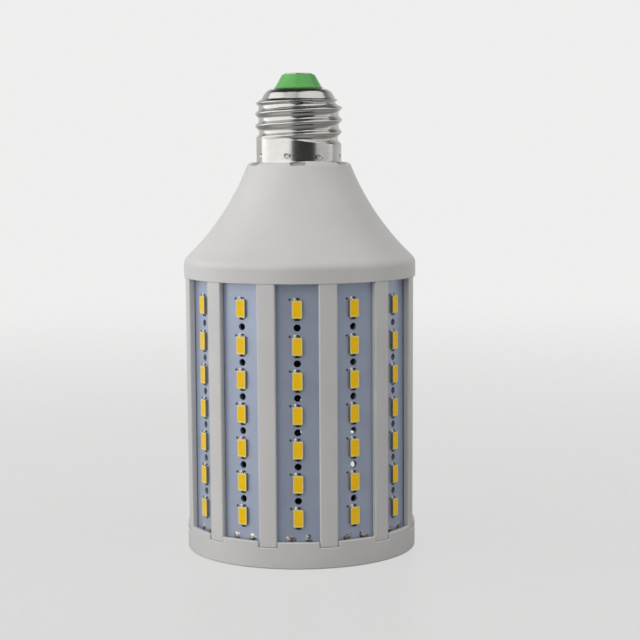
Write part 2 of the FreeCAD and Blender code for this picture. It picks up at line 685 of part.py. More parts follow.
def centre_contact():
    """The rivet-shaped contact: a disc on the insulator with a stem through it."""
    under = CONTACT_TOP - CONTACT_THICKNESS
    return spun(rounded([
        at(0, CONTACT_TOP - STEM_LENGTH),
        at(CONTACT_STEM, CONTACT_TOP - STEM_LENGTH),
        at(CONTACT_STEM, under),
        at(CONTACT_RADIUS, under),
        at(CONTACT_RADIUS, CONTACT_TOP),
        at(0, CONTACT_TOP)], {4: CONTACT_EDGE}))


def driver_board():
    half = DRIVER_WIDTH / 2
    return block(-half, half, DRIVER_FACE, -DRIVER_FACE, DRIVER_BOTTOM, RAIL_TOP)


def component_levels():
    """Middle heights of the components, which follow each other down the board."""
    levels = {"fuse": RAIL_TOP - FUSE_DROP}
    low = levels["fuse"] - FUSE_RADIUS
    for name, height in (("input", INPUT_SIZE[2]), ("transformer", CORE_SIZE[2])):
        levels[name] = low - PART_GAP - height / 2
        low = levels[name] - height / 2
    levels["filter"] = low - PART_GAP - FILTER_RADIUS
    levels["rectifier"] = levels["filter"] - FILTER_RADIUS - PART_GAP - RECTIFIER_SIZE[2] / 2
    levels["chip"] = low - PART_GAP - CHIP_SIZE[2] / 2
    levels["output"] = levels["chip"] - CHIP_SIZE[2] / 2 - PART_GAP - OUTPUT_RADIUS
    return levels


LEVELS = component_levels()


def component(size, x, z):
    """A box-shaped component on the driver board, with softened outer edges."""
    width, depth, height = size
    far = DRIVER_FACE - depth
    body = block(x - width / 2, x + width / 2, far, DRIVER_FACE, z - height / 2, z + height / 2)
    outer = [edge for edge in body.Edges if abs(edge.BoundBox.YMax - far) < COMPONENT_EDGE / 10]
    return body.makeFillet(COMPONENT_EDGE, outer)


def standing(radius, height, x, z):
    """A round component that stands on the driver board."""
    return rod(radius, Vector(x, DRIVER_FACE, z), Vector(x, DRIVER_FACE - height, z))


def transformer_core():
    """Two plates of the core joined by the legs beside the winding."""
    width, depth, height = CORE_SIZE
    z = LEVELS["transformer"]
    core = block(-width / 2, width / 2, DRIVER_FACE - depth, DRIVER_FACE,
                 z - height / 2, z + height / 2)
    room = WINDING_RADIUS + RAIL_CLEARANCE
    inside = block(-room, room, DRIVER_FACE - depth - 1, DRIVER_FACE + 1,
                   z - height / 2 + CORE_PLATE, z + height / 2 - CORE_PLATE)
    return core.cut(inside)


def transformer_winding():
    """The taped coil, which fills the height between the core's plates."""
    z = LEVELS["transformer"]
    half = CORE_SIZE[2] / 2 - CORE_PLATE
    y = DRIVER_FACE - CORE_SIZE[1] / 2
    return rod(WINDING_RADIUS, Vector(0, y, z - half), Vector(0, y, z + half))


def fuse_resistor():
    y = DRIVER_FACE - FUSE_RADIUS
    z = LEVELS["fuse"]
    return rod(FUSE_RADIUS, Vector(-FUSE_LENGTH / 2, y, z), Vector(FUSE_LENGTH / 2, y, z))


def contact_wire():
    """The live wire, from the driver to the stem of the centre contact."""
    side = SPIGOT_BORE - SPIGOT_ROOM
    bore_end = THREAD_BASE + SPIGOT_TIP
    return wire_path([
        Vector(side, WIRE_PLANE, RAIL_TOP - WIRE_LAP),
        Vector(side, WIRE_PLANE, NECK_TOP),
        Vector(side / 2, WIRE_PLANE, (NECK_TOP + bore_end) / 2),
        Vector(0, 0, bore_end - WIRE),
        Vector(0, 0, CONTACT_TOP - STEM_LENGTH)], WIRE)


def shell_wire():
    """The return wire, from the driver over the spigot's end to the inside of the shell."""
    over = THREAD_BASE + SPIGOT_TIP + WIRE
    side = SPIGOT_BORE - SPIGOT_ROOM
    bore = THREAD_ROOT - CAP_WALL
    reach = math.sqrt(bore ** 2 - (WIRE / 2 - WIRE_PLANE) ** 2) - SPIGOT_CLEARANCE / 2
    return wire_path([
        Vector(-side, WIRE_PLANE, RAIL_TOP - WIRE_LAP),
        Vector(-side, WIRE_PLANE, over),
        Vector(-reach, WIRE_PLANE, over)], WIRE)


def supply_wire(side):
    """A wire from the driver's lower end to a hole of the end board, on the side -1 or 1."""
    hole = end_wire_points()[0 if side < 0 else 1]
    x = side * SUPPLY_SIDE
    drop = DRIVER_BOTTOM - WIRE_RUN
    rise = LEDGE_HEIGHT + WIRE_RISE
    return wire_path([
        Vector(x, WIRE_PLANE, DRIVER_BOTTOM + WIRE_LAP),
        Vector(x, WIRE_PLANE, drop),
        Vector(x, WIRE_PLANE - WIRE_BOW, (drop + rise) / 2),
        Vector(hole.x, hole.y, rise),
        Vector(hole.x, hole.y, LEDGE_HEIGHT - END_BOARD_THICKNESS)], END_WIRE_HOLE)


def end_diodes():
    """The diodes under the end board, in two circles, each with its long side outwards."""
    face = LEDGE_HEIGHT - END_BOARD_THICKNESS
    solids = []
    for count, circle, offset in ((END_OUTER_DIODES, FOOT_INNER_RADIUS - END_OUTER_INSET,
                                   END_OUTER_TURN),
                                  (END_INNER_DIODES, END_INNER_CIRCLE, 0)):
        for index in range(count):
            solid = diode()
            solid.rotate(Vector(0, 0, 0), Vector(1, 0, 0), 180)
            solid.translate(Vector(0, -circle, face))
            solids.append(turned(solid, (index + offset) * 360.0 / count))
    return solids


def parts():
    """Every node of the lamp with its shape."""
    nodes = {
        "screw_shell": screw_shell(),
        "cap_insulator": cap_insulator(),
        "centre_contact": centre_contact(),
        "housing": housing(),
        "base_ring": base_ring(),
        "end_board": end_board(),
        "end_board_leds": Part.makeCompound(end_diodes()),
        "end_board_screws": Part.makeCompound([screw(point) for point in screw_points()]),
        "driver_board": driver_board(),
        "transformer_core": transformer_core(),
        "transformer_winding": transformer_winding(),
        "input_capacitor": component(INPUT_SIZE, 0, LEVELS["input"]),
        "output_capacitor": standing(OUTPUT_RADIUS, OUTPUT_HEIGHT, OUTPUT_SIDE, LEVELS["output"]),
        "filter_choke": standing(FILTER_RADIUS, FILTER_HEIGHT, FILTER_SIDE, LEVELS["filter"]),
        "bridge_rectifier": component(RECTIFIER_SIZE, FILTER_SIDE, LEVELS["rectifier"]),
        "driver_chip": component(CHIP_SIZE, OUTPUT_SIDE, LEVELS["chip"]),
        "fuse_resistor": fuse_resistor(),
        "contact_wire": contact_wire(),
        "shell_wire": shell_wire(),
        "output_wire_positive": supply_wire(1),
        "output_wire_negative": supply_wire(-1),
        "strip_link_wires": Part.makeCompound(link_wires()),
    }
    board = strip_board()
    diodes = strip_diodes()
    drops = strip_solder()
    solder = []
    for strip in range(STRIPS):
        angle = strip * STEP_ANGLE
        nodes["led_strip_%02d" % (strip + 1)] = turned(board, angle)
        nodes["strip_leds_%02d" % (strip + 1)] = turned(diodes, angle)
        solder += [turned(drop, angle) for drop in drops]
    nodes["strip_solder"] = Part.makeCompound(solder)
    return nodes


os.makedirs("parts", exist_ok=True)
for name, shape in parts().items():
    shape.exportStep("parts/%s.step" % name)
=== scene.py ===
import math

import bmesh
import bpy
import numpy as np
from mathutils import Matrix


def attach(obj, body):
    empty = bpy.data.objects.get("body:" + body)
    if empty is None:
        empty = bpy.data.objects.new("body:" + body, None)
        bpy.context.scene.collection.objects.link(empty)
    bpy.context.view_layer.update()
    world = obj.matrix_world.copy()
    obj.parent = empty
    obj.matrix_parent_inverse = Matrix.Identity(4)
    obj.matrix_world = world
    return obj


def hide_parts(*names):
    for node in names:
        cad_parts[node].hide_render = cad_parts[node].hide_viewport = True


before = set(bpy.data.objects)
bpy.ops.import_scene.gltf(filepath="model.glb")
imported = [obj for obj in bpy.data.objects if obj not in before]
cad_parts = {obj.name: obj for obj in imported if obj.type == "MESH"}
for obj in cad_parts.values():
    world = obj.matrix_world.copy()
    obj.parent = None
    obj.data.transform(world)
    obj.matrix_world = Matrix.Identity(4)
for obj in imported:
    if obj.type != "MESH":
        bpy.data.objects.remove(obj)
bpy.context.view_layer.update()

mm = 0.001

# Base ring: the white moulding that the lamp stands on, in the same plastic as the housing.
# A lip rises before each strip, and the ribs of the housing end in the notches between the
# lips, with a thin gap round them. Three bosses inside take the end board's screws.
STRIPS = 12
STRIP_STEP = 2 * np.pi / STRIPS
RING_RADIUS = 34.75 * mm
RING_SEAT = 6.15 * mm
RING_LIP = 7.85 * mm
RING_EDGE = 0.5 * mm
LIP_HALF = 6.08 * mm
LIP_INNER = 33.15 * mm
LIP_EDGE = 0.28 * mm
LIP_SIDE_EDGE = 0.14 * mm
SEAT_EDGE = 0.28 * mm
NO_LIP = 1e-3 * SEAT_EDGE
FOOT_INNER = 31.0 * mm
BORE = 27.5 * mm
LEDGE = 3.4 * mm
BOSS_CIRCLE = 27.8 * mm
BOSS_RADIUS = 2.9 * mm
BOSS_TOP = 7.75 * mm
BOSSES = 3
PLASTIC_LIGHT = (0.735, 0.725, 0.705)
PLASTIC_DARK = (0.68, 0.672, 0.655)


def ranged(tree, value, low, high, first, last, smooth=False):
    """A value that runs from first to last while another runs from low to high."""
    node = tree.nodes.new("ShaderNodeMapRange")
    if smooth:
        node.interpolation_type = "SMOOTHSTEP"
    limits = {"From Min": low, "From Max": high, "To Min": first, "To Max": last}
    for name, limit in limits.items():
        node.inputs[name].default_value = limit
    tree.links.new(value, node.inputs["Value"])
    return node.outputs["Result"]


def grained(name, light, dark, patch, grain, rough, relief, metallic=0.0, stretch=(1, 1, 1),
            gloss=0.5):
    """A finish that drifts between two shades over wide patches, with a fine grain.

    The patches' noise mixes the two shades. The grain's noise spreads the roughness over its
    range and stands up from the surface by the relief. patch, grain and relief are lengths,
    stretch squeezes both noises along an axis, and gloss is the strength of the shine.
    """
    material = bpy.data.materials.new(name)
    material.use_nodes = True
    nodes = material.node_tree.nodes
    links = material.node_tree.links
    shader = nodes["Principled BSDF"]
    shader.inputs["Metallic"].default_value = metallic
    shader.inputs["Specular IOR Level"].default_value = gloss
    place = nodes.new("ShaderNodeTexCoord")
    mapping = nodes.new("ShaderNodeMapping")
    mapping.inputs["Scale"].default_value = stretch
    links.new(place.outputs["Object"], mapping.inputs["Vector"])
    wide = nodes.new("ShaderNodeTexNoise")
    wide.inputs["Scale"].default_value = 1 / patch
    wide.inputs["Detail"].default_value = 3
    fine = nodes.new("ShaderNodeTexNoise")
    fine.inputs["Scale"].default_value = 1 / grain
    fine.inputs["Detail"].default_value = 2
    for noise in (wide, fine):
        links.new(mapping.outputs["Vector"], noise.inputs["Vector"])
    shades = nodes.new("ShaderNodeValToRGB")
    shades.color_ramp.elements[0].position = 0.3
    shades.color_ramp.elements[0].color = (*dark, 1)
    shades.color_ramp.elements[1].position = 0.7
    shades.color_ramp.elements[1].color = (*light, 1)
    links.new(wide.outputs["Fac"], shades.inputs["Fac"])
    links.new(shades.outputs["Color"], shader.inputs["Base Color"])
    spread = ranged(material.node_tree, fine.outputs["Fac"], 0.25, 0.75, *rough)
    links.new(spread, shader.inputs["Roughness"])
    bump = nodes.new("ShaderNodeBump")
    bump.inputs["Distance"].default_value = relief
    links.new(fine.outputs["Fac"], bump.inputs["Height"])
    links.new(bump.outputs["Normal"], shader.inputs["Normal"])
    return material


def rounded(corners, radii, steps):
    """A closed outline with its corners rounded.

    Each corner becomes an arc about the point that lies radius / sin(half the corner's angle)
    from it along the bisector, and the arc turns through the supplement of that angle.
    """
    corners = np.array(corners, float)
    outline = []
    for index, (radius, count) in enumerate(zip(radii, steps)):
        here = corners[index]
        back = corners[index - 1] - here
        ahead = corners[(index + 1) % len(corners)] - here
        back = back / np.linalg.norm(back)
        ahead = ahead / np.linalg.norm(ahead)
        bisector = back + ahead
        if count == 0 or np.linalg.norm(bisector) < 1e-6:
            outline.append(np.repeat(here[None], count + 1, axis=0))
            continue
        bisector = bisector / np.linalg.norm(bisector)
        half = np.arccos(np.clip(np.dot(back, ahead), -1, 1)) / 2
        side = np.array([bisector[1], -bisector[0]])
        side = side * np.sign(np.dot(side, ahead))
        turn = np.linspace(-1, 1, count + 1)[:, None] * (np.pi / 2 - half)
        centre = here + bisector * radius / np.sin(half)
        outline.append(centre + radius * (np.sin(turn) * side - np.cos(turn) * bisector))
    return np.concatenate(outline)


def placed(radius, azimuth, height):
    """Points at a radius and height, at azimuths counted from the front, -Y, towards +X."""
    radius, azimuth, height = np.broadcast_arrays(radius, azimuth, height)
    return np.stack([radius * np.sin(azimuth), -radius * np.cos(azimuth), height], axis=-1)


def grid(points, finish=0, close_rows=True, close_columns=True):
    """A patch over a grid of points, with a four-sided face between each four neighbours."""
    rows, columns = points.shape[:2]
    row = np.arange(rows if close_rows else rows - 1)[:, None]
    column = np.arange(columns if close_columns else columns - 1)[None]
    below = (row + 1) % rows
    right = (column + 1) % columns
    faces = np.stack([row * columns + column, below * columns + column,
                      below * columns + right, row * columns + right], axis=-1)
    return points.reshape(-1, 3), faces.reshape(-1, 4), finish


def lid(loop, finish=0):
    """A patch of one face that closes a loop of points."""
    return loop, np.arange(len(loop))[None], finish


def turned(outline, count, finish=0):
    """A patch that an outline of radii and heights sweeps in one turn about the axis."""
    azimuth = np.arange(count)[:, None] * 2 * np.pi / count
    return grid(placed(outline[None, :, 0], azimuth, outline[None, :, 1]), finish)


def piece(name, patches, finishes, stands_for=(), sharp=38):
    """One mesh from its patches, closed and facing outwards, that rides on the lamp.

    Where two faces meet at more than sharp degrees, the edge between them is drawn sharp.
    """
    points = np.concatenate([patch[0] for patch in patches])
    first = np.cumsum([0] + [len(patch[0]) for patch in patches[:-1]])
    corners = [(patch[1] + start).ravel() for patch, start in zip(patches, first)]
    sizes = np.concatenate([np.full(len(patch[1]), patch[1].shape[1]) for patch in patches])
    finish = np.concatenate([np.full(len(patch[1]), patch[2]) for patch in patches])
    corners = np.concatenate(corners)
    mesh = bpy.data.meshes.new(name)
    mesh.vertices.add(len(points))
    mesh.vertices.foreach_set("co", points.ravel())
    mesh.loops.add(len(corners))
    mesh.loops.foreach_set("vertex_index", corners.astype(np.int32))
    mesh.polygons.add(len(sizes))
    mesh.polygons.foreach_set("loop_start", (np.cumsum(sizes) - sizes).astype(np.int32))
    for material in finishes:
        mesh.materials.append(material)
    mesh.polygons.foreach_set("material_index", finish.astype(np.int32))
    mesh.update(calc_edges=True)
    work = bmesh.new()
    work.from_mesh(mesh)
    bmesh.ops.remove_doubles(work, verts=work.verts, dist=1e-4 * mm)
    bmesh.ops.recalc_face_normals(work, faces=work.faces)
    work.to_mesh(mesh)
    work.free()
    mesh.shade_smooth()
    mesh.set_sharp_from_angle(angle=math.radians(sharp))
    thing = bpy.data.objects.new(name, mesh)
    bpy.context.scene.collection.objects.link(thing)
    even = thing.modifiers.new("even shading", "WEIGHTED_NORMAL")
    even.keep_sharp = True
    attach(thing, "root")
    if stands_for:
        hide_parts(*stands_for)
    return thing


def stations(half, edge, height, across, between):
    """Stations over one raised block and over the gap from it to the next block.

    For each station: the offset from the block's middle, the share of the height that stands
    there, and the blend from this block, 0, to the next, 1. At a distance d from the block's
    side its height is less by edge - sqrt(edge^2 - (edge - d)^2).
    """
    turn = np.linspace(0, np.pi / 2, 4)
    inset = edge * (1 - np.cos(turn))
    rise = 1 - edge / height * (1 - np.sin(turn))
    middle = np.linspace(edge - half, half - edge, across + 2)[1:-1]
    offset = np.concatenate([[-half], inset - half, middle, (half - inset)[::-1], [half],
                             np.full(between, half)])
    share = np.concatenate([[0], rise, np.ones(across), rise[::-1], [0], np.zeros(between)])
    blend = np.zeros(len(offset))
    blend[len(offset) - between:] = np.linspace(0, 1, between + 2)[1:-1]
    return offset, share, blend


def around(profile, offset, blend, sector, count):
    """Places a profile of radii and heights at the stations of every sector.

    A point of radius r stands at the azimuth asin(offset / r) from the block's middle, so the
    blocks' sides are parallel, and in a gap it moves evenly on to the next block's side.
    """
    turn = np.arcsin(np.clip(offset[:, None] / profile[..., 0], -1, 1))
    turn = (1 - blend[:, None]) * turn + blend[:, None] * (sector - turn)
    turn = turn[None] + (np.arange(count) * sector)[:, None, None]
    points = placed(profile[None, ..., 0], turn, profile[None, ..., 1])
    return points.reshape(-1, profile.shape[1], 3)


def ring_section(lift):
    """The ring's section where its lip has this height: foot, wall, lip, seat and ledge."""
    share = lift / (RING_LIP - RING_SEAT)
    top = RING_SEAT + lift
    corners = [(FOOT_INNER, 0), (RING_RADIUS, 0), (RING_RADIUS, top), (LIP_INNER, top),
               (LIP_INNER, RING_SEAT), (BORE, RING_SEAT), (BORE, LEDGE), (FOOT_INNER, LEDGE)]
    outer = SEAT_EDGE + (LIP_EDGE - SEAT_EDGE) * share
    radii = [SEAT_EDGE, RING_EDGE, outer, SEAT_EDGE * share, 0, SEAT_EDGE, 0, 0]
    return rounded(corners, radii, [2, 5, 5, 3, 0, 2, 0, 0])


def base_ring(plastic):
    """The ring with its lips, and the bosses behind every fourth strip.

    Between the lips the section has a lip of almost no height, so that it keeps as many
    points. A lip's inner wall is flat, so at an offset from its middle its radius grows to
    the root of the sum of their squares.
    """
    lift = RING_LIP - RING_SEAT
    offset, share, blend = stations(LIP_HALF, LIP_SIDE_EDGE, lift, 11, 5)
    low = ring_section(NO_LIP)
    high = ring_section(lift)
    profile = low + share[:, None, None] * (high - low)
    inner_wall = np.abs(high[:, 0] - LIP_INNER) < 2 * SEAT_EDGE
    radius = profile[..., 0]
    profile[..., 0] = np.where(inner_wall, np.hypot(radius, offset[:, None]), radius)
    patches = [grid(around(profile, offset, blend, STRIP_STEP, STRIPS))]
    boss = rounded([(0, LEDGE + SEAT_EDGE), (BOSS_RADIUS, LEDGE + SEAT_EDGE),
                    (BOSS_RADIUS, BOSS_TOP), (0, BOSS_TOP)], [0, 0, SEAT_EDGE, 0], [0, 0, 3, 0])
    for index in range(BOSSES):
        points, faces, finish = turned(boss, 32)
        centre = placed(BOSS_CIRCLE, index * 2 * np.pi / BOSSES, 0)
        patches.append((points + centre, faces, finish))
    return piece("ring_moulding", patches, [plastic], ["base_ring"])


plastic = grained("moulded white plastic", PLASTIC_LIGHT, PLASTIC_DARK, 22 * mm, 0.32 * mm,
                  (0.36, 0.5), 0.006 * mm)
base_ring(plastic)

# Diodes on the strips: surface-mounted packages of pale resin with a cup of yellow phosphor,
# soldered at both short ends on an aluminium board under grey-blue resist. Seven stand in
# each window, and the one near the skirt is set a little apart.
STRIP_FACE = 32.1 * mm
STRIP_COLOUR_LIGHT = (0.45, 0.525, 0.66)
STRIP_COLOUR_DARK = (0.43, 0.48, 0.635)
DIODE_WIDTH = 3.0 * mm
DIODE_LENGTH = 5.16 * mm
DIODE_PITCH = 10.0 * mm
LOWEST_DIODE = RING_LIP + 6.69 * mm
TOP_DIODE = RING_LIP + 67.39 * mm
DIODE_CORNER = 0.22 * mm
DIODE_RIM = 0.36 * mm
DIODE_END_RIM = 0.4 * mm
RIM_EDGE = 0.05 * mm
SIDE_INSETS = np.array([0, 0, 0.05, 0.13]) * mm
SIDE_LEVELS = np.array([0, 0.78, 0.87, 0.9, 0.9, 0.86]) * mm
CUP_LEVELS = np.array([0.86, 0.845]) * mm
TAB_WIDTH = 1.9 * mm
TAB_LENGTH = 0.27 * mm
TAB_HEIGHT = 0.35 * mm
BODY_COLOUR_LIGHT = (0.97, 0.86, 0.33)
BODY_COLOUR_DARK = (0.95, 0.81, 0.27)
# Painted shade: the package's side and foot are coloured dark brown, as if in shadow, whatever
# light falls on them.
SIDE_SHADE_LIGHT = (0.3, 0.25, 0.17)
SIDE_SHADE_DARK = (0.22, 0.185, 0.13)
PHOSPHOR_LIGHT = (0.98, 0.62, 0.014)
PHOSPHOR_DARK = (0.93, 0.55, 0.01)
# Painted light: the phosphor glows faintly by itself, which makes it brighter than the lamps alone
# light it.
PHOSPHOR_PAINTED_GLOW = (1.0, 0.5, 0.005)
PHOSPHOR_PAINTED_GLOW_LEVEL = 0.12
TIN_LIGHT = (0.82, 0.82, 0.81)
TIN_DARK = (0.66, 0.66, 0.66)
# Painted shade and dark reflection: solder at the diodes' ends coloured near black.
SHADED_SOLDER_LIGHT = (0.11, 0.09, 0.06)
SHADED_SOLDER_DARK = (0.05, 0.042, 0.03)
# Painted glint: a white, dull solder that shows bright whatever light falls on it.
GLINT_SOLDER_LIGHT = (0.95, 0.95, 0.93)
GLINT_SOLDER_DARK = (0.86, 0.86, 0.85)
# Finish 5 is the painted glint, and finish 4 is the solder darkened as painted shade and dark
# reflection.
SOLDER_JOINTS = (            # across, end, half width, half length, height, finish
    (-0.7, 1, 0.38, 0.82, 0.5, 5),
    (0.25, 1, 0.6, 0.74, 0.4, 4),
    (0.0, -1, 1.0, 0.78, 0.42, 4),
)
BOXINESS = 0.6
BEAD_SHARES = np.array([1.0, 0.9, 0.62, 0.25])[:, None]
heights = np.append(LOWEST_DIODE + DIODE_PITCH * np.arange(6), TOP_DIODE)


def on_strip(points, number):
    """Points given as across, out and up from a strip's foot, placed on that strip."""
    turn = number * STRIP_STEP
    across = points[..., 0]
    forward = STRIP_FACE + points[..., 1]
    return np.stack([across * np.cos(turn) + forward * np.sin(turn),
                     across * np.sin(turn) - forward * np.cos(turn),
                     points[..., 2]], axis=-1)


def repeated(patch, places):
    """A patch once at each place, given as across, out and up."""
    points, faces, finish = patch
    places = np.array(places, float).reshape(-1, 1, 3)
    count = np.arange(len(places))[:, None, None] * len(points)
    return ((points[None] + places).reshape(-1, 3),
            (faces[None] + count).reshape(-1, faces.shape[1]), finish)


def frame_loops(half_width, half_length, corner, side_inset, end_inset, out, count=3):
    """Loops round a rectangle with round corners, one for each inset and level.

    A loop's corner is an arc about the corner's centre, and its radius is the corner's less
    the inset. Past that radius the centre itself moves in.
    """
    turn = np.linspace(0, np.pi / 2, count)[None] + np.arange(4)[:, None] * np.pi / 2
    sign_x = np.sign(np.cos(np.arange(4) * np.pi / 2 + np.pi / 4))[:, None]
    sign_z = np.sign(np.sin(np.arange(4) * np.pi / 2 + np.pi / 4))[:, None]
    side_inset, end_inset, out = (np.array(v, float)[:, None, None]
                                  for v in (side_inset, end_inset, out))
    arc_x = np.maximum(corner - side_inset, 0)
    arc_z = np.maximum(corner - end_inset, 0)
    across = sign_x * (half_width - side_inset - arc_x) + arc_x * np.cos(turn)
    up = sign_z * (half_length - end_inset - arc_z) + arc_z * np.sin(turn)
    across, out, up = np.broadcast_arrays(across, out, up)
    return np.stack([across, out, up], axis=-1).reshape(len(across), -1, 3)


def diode():
    """The package: its side, darkened as painted shade, its rim, the phosphor just below the rim,
    and two tabs.

    Its loops run from the foot up the side, over the rounded rim and down into the cup.
    """
    body = frame_loops(DIODE_WIDTH / 2, DIODE_LENGTH / 2, DIODE_CORNER,
                       np.append(SIDE_INSETS, [DIODE_RIM - RIM_EDGE, DIODE_RIM]),
                       np.append(SIDE_INSETS, [DIODE_END_RIM - RIM_EDGE, DIODE_END_RIM]),
                       SIDE_LEVELS)
    cup = frame_loops(DIODE_WIDTH / 2, DIODE_LENGTH / 2, DIODE_CORNER,
                      [DIODE_RIM, 2 * DIODE_RIM], [DIODE_END_RIM, 2 * DIODE_END_RIM], CUP_LEVELS)
    tabs = frame_loops(TAB_WIDTH / 2, DIODE_LENGTH / 2 + TAB_LENGTH, 0, [0, 0], [0, 0],
                       [0, TAB_HEIGHT], 1)
    return [grid(body[:2], 3, False), grid(body[1:], 0, False), lid(body[0], 3),
            grid(cup, 1, False), lid(cup[-1], 1),
            grid(tabs, 2, False), lid(tabs[0], 2), lid(tabs[-1], 2)]


def bead(half_width, half_length, height, finish, count=16):
    """A drop of solder: at a share s of its half axes it stands height * sqrt(1 - s^2).

    Its outline lies between an ellipse and a box: the cosine and sine of the turn are raised
    to a power under one, with their signs kept.
    """
    turn = np.arange(count)[None] * 2 * np.pi / count
    across, up = (half * BEAD_SHARES * np.sign(wave) * np.abs(wave) ** BOXINESS
                  for half, wave in ((half_width, np.cos(turn)), (half_length, np.sin(turn))))
    out = np.broadcast_to(height * np.sqrt(1 - BEAD_SHARES ** 2), across.shape)
    loops = np.stack([across, out, up], axis=-1)
    return [grid(loops, finish, False), lid(loops[0], finish), lid(loops[-1], finish)]


def strip_diodes(number, finishes):
    """The seven diodes of one strip, with a painted glint and solder darkened as painted shade and
    dark reflection at their ends.
    """
    places = np.stack([0 * heights, 0 * heights, heights], axis=-1)
    joints = []
    for across, end, half_width, half_length, height, finish in SOLDER_JOINTS:
        for patch in bead(half_width * mm, half_length * mm, height * mm, finish):
            joints.append((patch, (across * mm, 0, end * DIODE_LENGTH / 2)))
    patches = [repeated(patch, places) for patch in diode()]
    patches += [repeated(patch, places + np.array(place)) for patch, place in joints]
    patches = [(on_strip(points, number), faces, finish) for points, faces, finish in patches]
    return piece("diode_row_%02d" % (number + 1), patches, finishes,
                 ["strip_leds_%02d" % (number + 1)])


def dress(material, *names):
    """Gives CAD nodes their finish."""
    for name in names:
        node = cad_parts[name]
        node.data.materials.clear()
        node.data.materials.append(material)


resist = grained("grey-blue solder resist", STRIP_COLOUR_LIGHT, STRIP_COLOUR_DARK, 7 * mm,
                 0.25 * mm, (0.28, 0.36), 0.003 * mm, 0.3, gloss=0.95)
resin = grained("diode resin", BODY_COLOUR_LIGHT, BODY_COLOUR_DARK, 3 * mm, 0.15 * mm,
                (0.3, 0.42), 0.002 * mm)
# The package side's dark colour is painted shade.
side = grained("package side in painted shade", SIDE_SHADE_LIGHT, SIDE_SHADE_DARK, 1 * mm, 0.15 * mm, (0.4, 0.5),
               0.002 * mm)
phosphor = grained("yellow phosphor", PHOSPHOR_LIGHT, PHOSPHOR_DARK, 1.6 * mm, 0.1 * mm,
                   (0.28, 0.42), 0.006 * mm, gloss=0.15)
# The phosphor's faint glow is painted light.
painted_glow = phosphor.node_tree.nodes["Principled BSDF"].inputs
painted_glow["Emission Color"].default_value = (*PHOSPHOR_PAINTED_GLOW, 1)
painted_glow["Emission Strength"].default_value = PHOSPHOR_PAINTED_GLOW_LEVEL
tin = grained("solder tin", TIN_LIGHT, TIN_DARK, 0.8 * mm, 0.2 * mm, (0.16, 0.34), 0.02 * mm, 1.0)
# Solder darkened as painted shade and dark reflection.
painted_dark = grained("solder under flux", SHADED_SOLDER_LIGHT, SHADED_SOLDER_DARK, 0.8 * mm, 0.2 * mm, (0.2, 0.4),
               0.02 * mm, 1.0)
# Solder painted white as a glint.
painted_glint = grained("frosted solder tin", GLINT_SOLDER_LIGHT, GLINT_SOLDER_DARK, 0.8 * mm, 0.2 * mm,
                  (0.3, 0.4), 0.01 * mm)
for number in range(STRIPS):
    dress(resist, "led_strip_%02d" % (number + 1))
    strip_diodes(number, [resin, phosphor, tin, side, painted_dark, painted_glint])

# Polarity marks: a small printed plus beside the upper end of each diode, in black ink on
# the resist. The prints are as thick as a coat of ink.
MARK_HALF = 0.46 * mm
MARK_BAR = 0.13 * mm
MARK_ACROSS = -2.1 * mm
MARK_ABOVE = 2.8 * mm
INK = 0.02 * mm
INK_LIGHT = (0.03, 0.032, 0.04)
INK_DARK = (0.015, 0.016, 0.02)


def plus():
    """A plus of ink: a cross of twelve corners, raised by the ink's thickness."""
    a, b = MARK_BAR, MARK_HALF
    cross = np.array([(a, a), (b, a), (b, -a), (a, -a), (a, -b), (-a, -b),
                      (-a, -a), (-b, -a), (-b, a), (-a, a), (-a, b), (a, b)])
    low, high = (np.stack([cross[:, 0], np.full(12, out), cross[:, 1]], axis=-1)
                 for out in (-INK, INK))
    return [grid(np.stack([low, high]), 0, False), lid(low), lid(high)]


def polarity_marks(ink):
    """All the prints as one mesh, each above the left corner of its diode."""
    places = np.stack([0 * heights + MARK_ACROSS, 0 * heights, heights + MARK_ABOVE], axis=-1)
    patches = []
    for number in range(STRIPS):
        for patch in plus():
            points, faces, finish = repeated(patch, places)
            patches.append((on_strip(points, number), faces, finish))
    return piece("polarity_marks", patches, [ink])


ink = grained("black ink", INK_LIGHT, INK_DARK, 0.5 * mm, 0.1 * mm, (0.4, 0.55), 0.001 * mm)
polarity_marks(ink)

# Solder drops over the link wires' ends, low on each strip, soldered by hand: uneven in
# outline, with the cut end of the wire standing out of each drop. The link wires run behind
# the strips, from each strip to the next.
DROP_ACROSS = (-2.3 * mm, 3.0 * mm)
DROP_LEVEL = RING_LIP + 0.45 * mm
DROP_RADIUS = 1.25 * mm
DROP_HEIGHT = 0.26 * mm
DROP_SIDES = 28
DROP_SHARES = np.array([1.0, 0.93, 0.8, 0.62, 0.46])[:, None]
DROP_PHASE = 2.4
THREE_WAY_PHASE = -1.7
OVAL_SWELL = 0.2
THREE_WAY_SWELL = 0.14
DROP_LEAN = 0.12
WIRE_END = 0.36 * mm
WIRE_RADII = WIRE_END * np.array([1.05, 1, 0.85])[:, None]
WIRE_LEVELS = DROP_HEIGHT * np.array([0.95, 1.35, 1.45])[:, None]
TINNED_LIGHT = (0.72, 0.71, 0.69)
TINNED_DARK = (0.6, 0.59, 0.57)
# Painted reflection: the hand solder's near-black patches stand in for dark surroundings mirrored
# in it. The light patches are the solder's own tone.
SOLDER_LIGHT = (0.8, 0.79, 0.76)
SOLDER_PAINTED_DARK = (0.13, 0.11, 0.09)


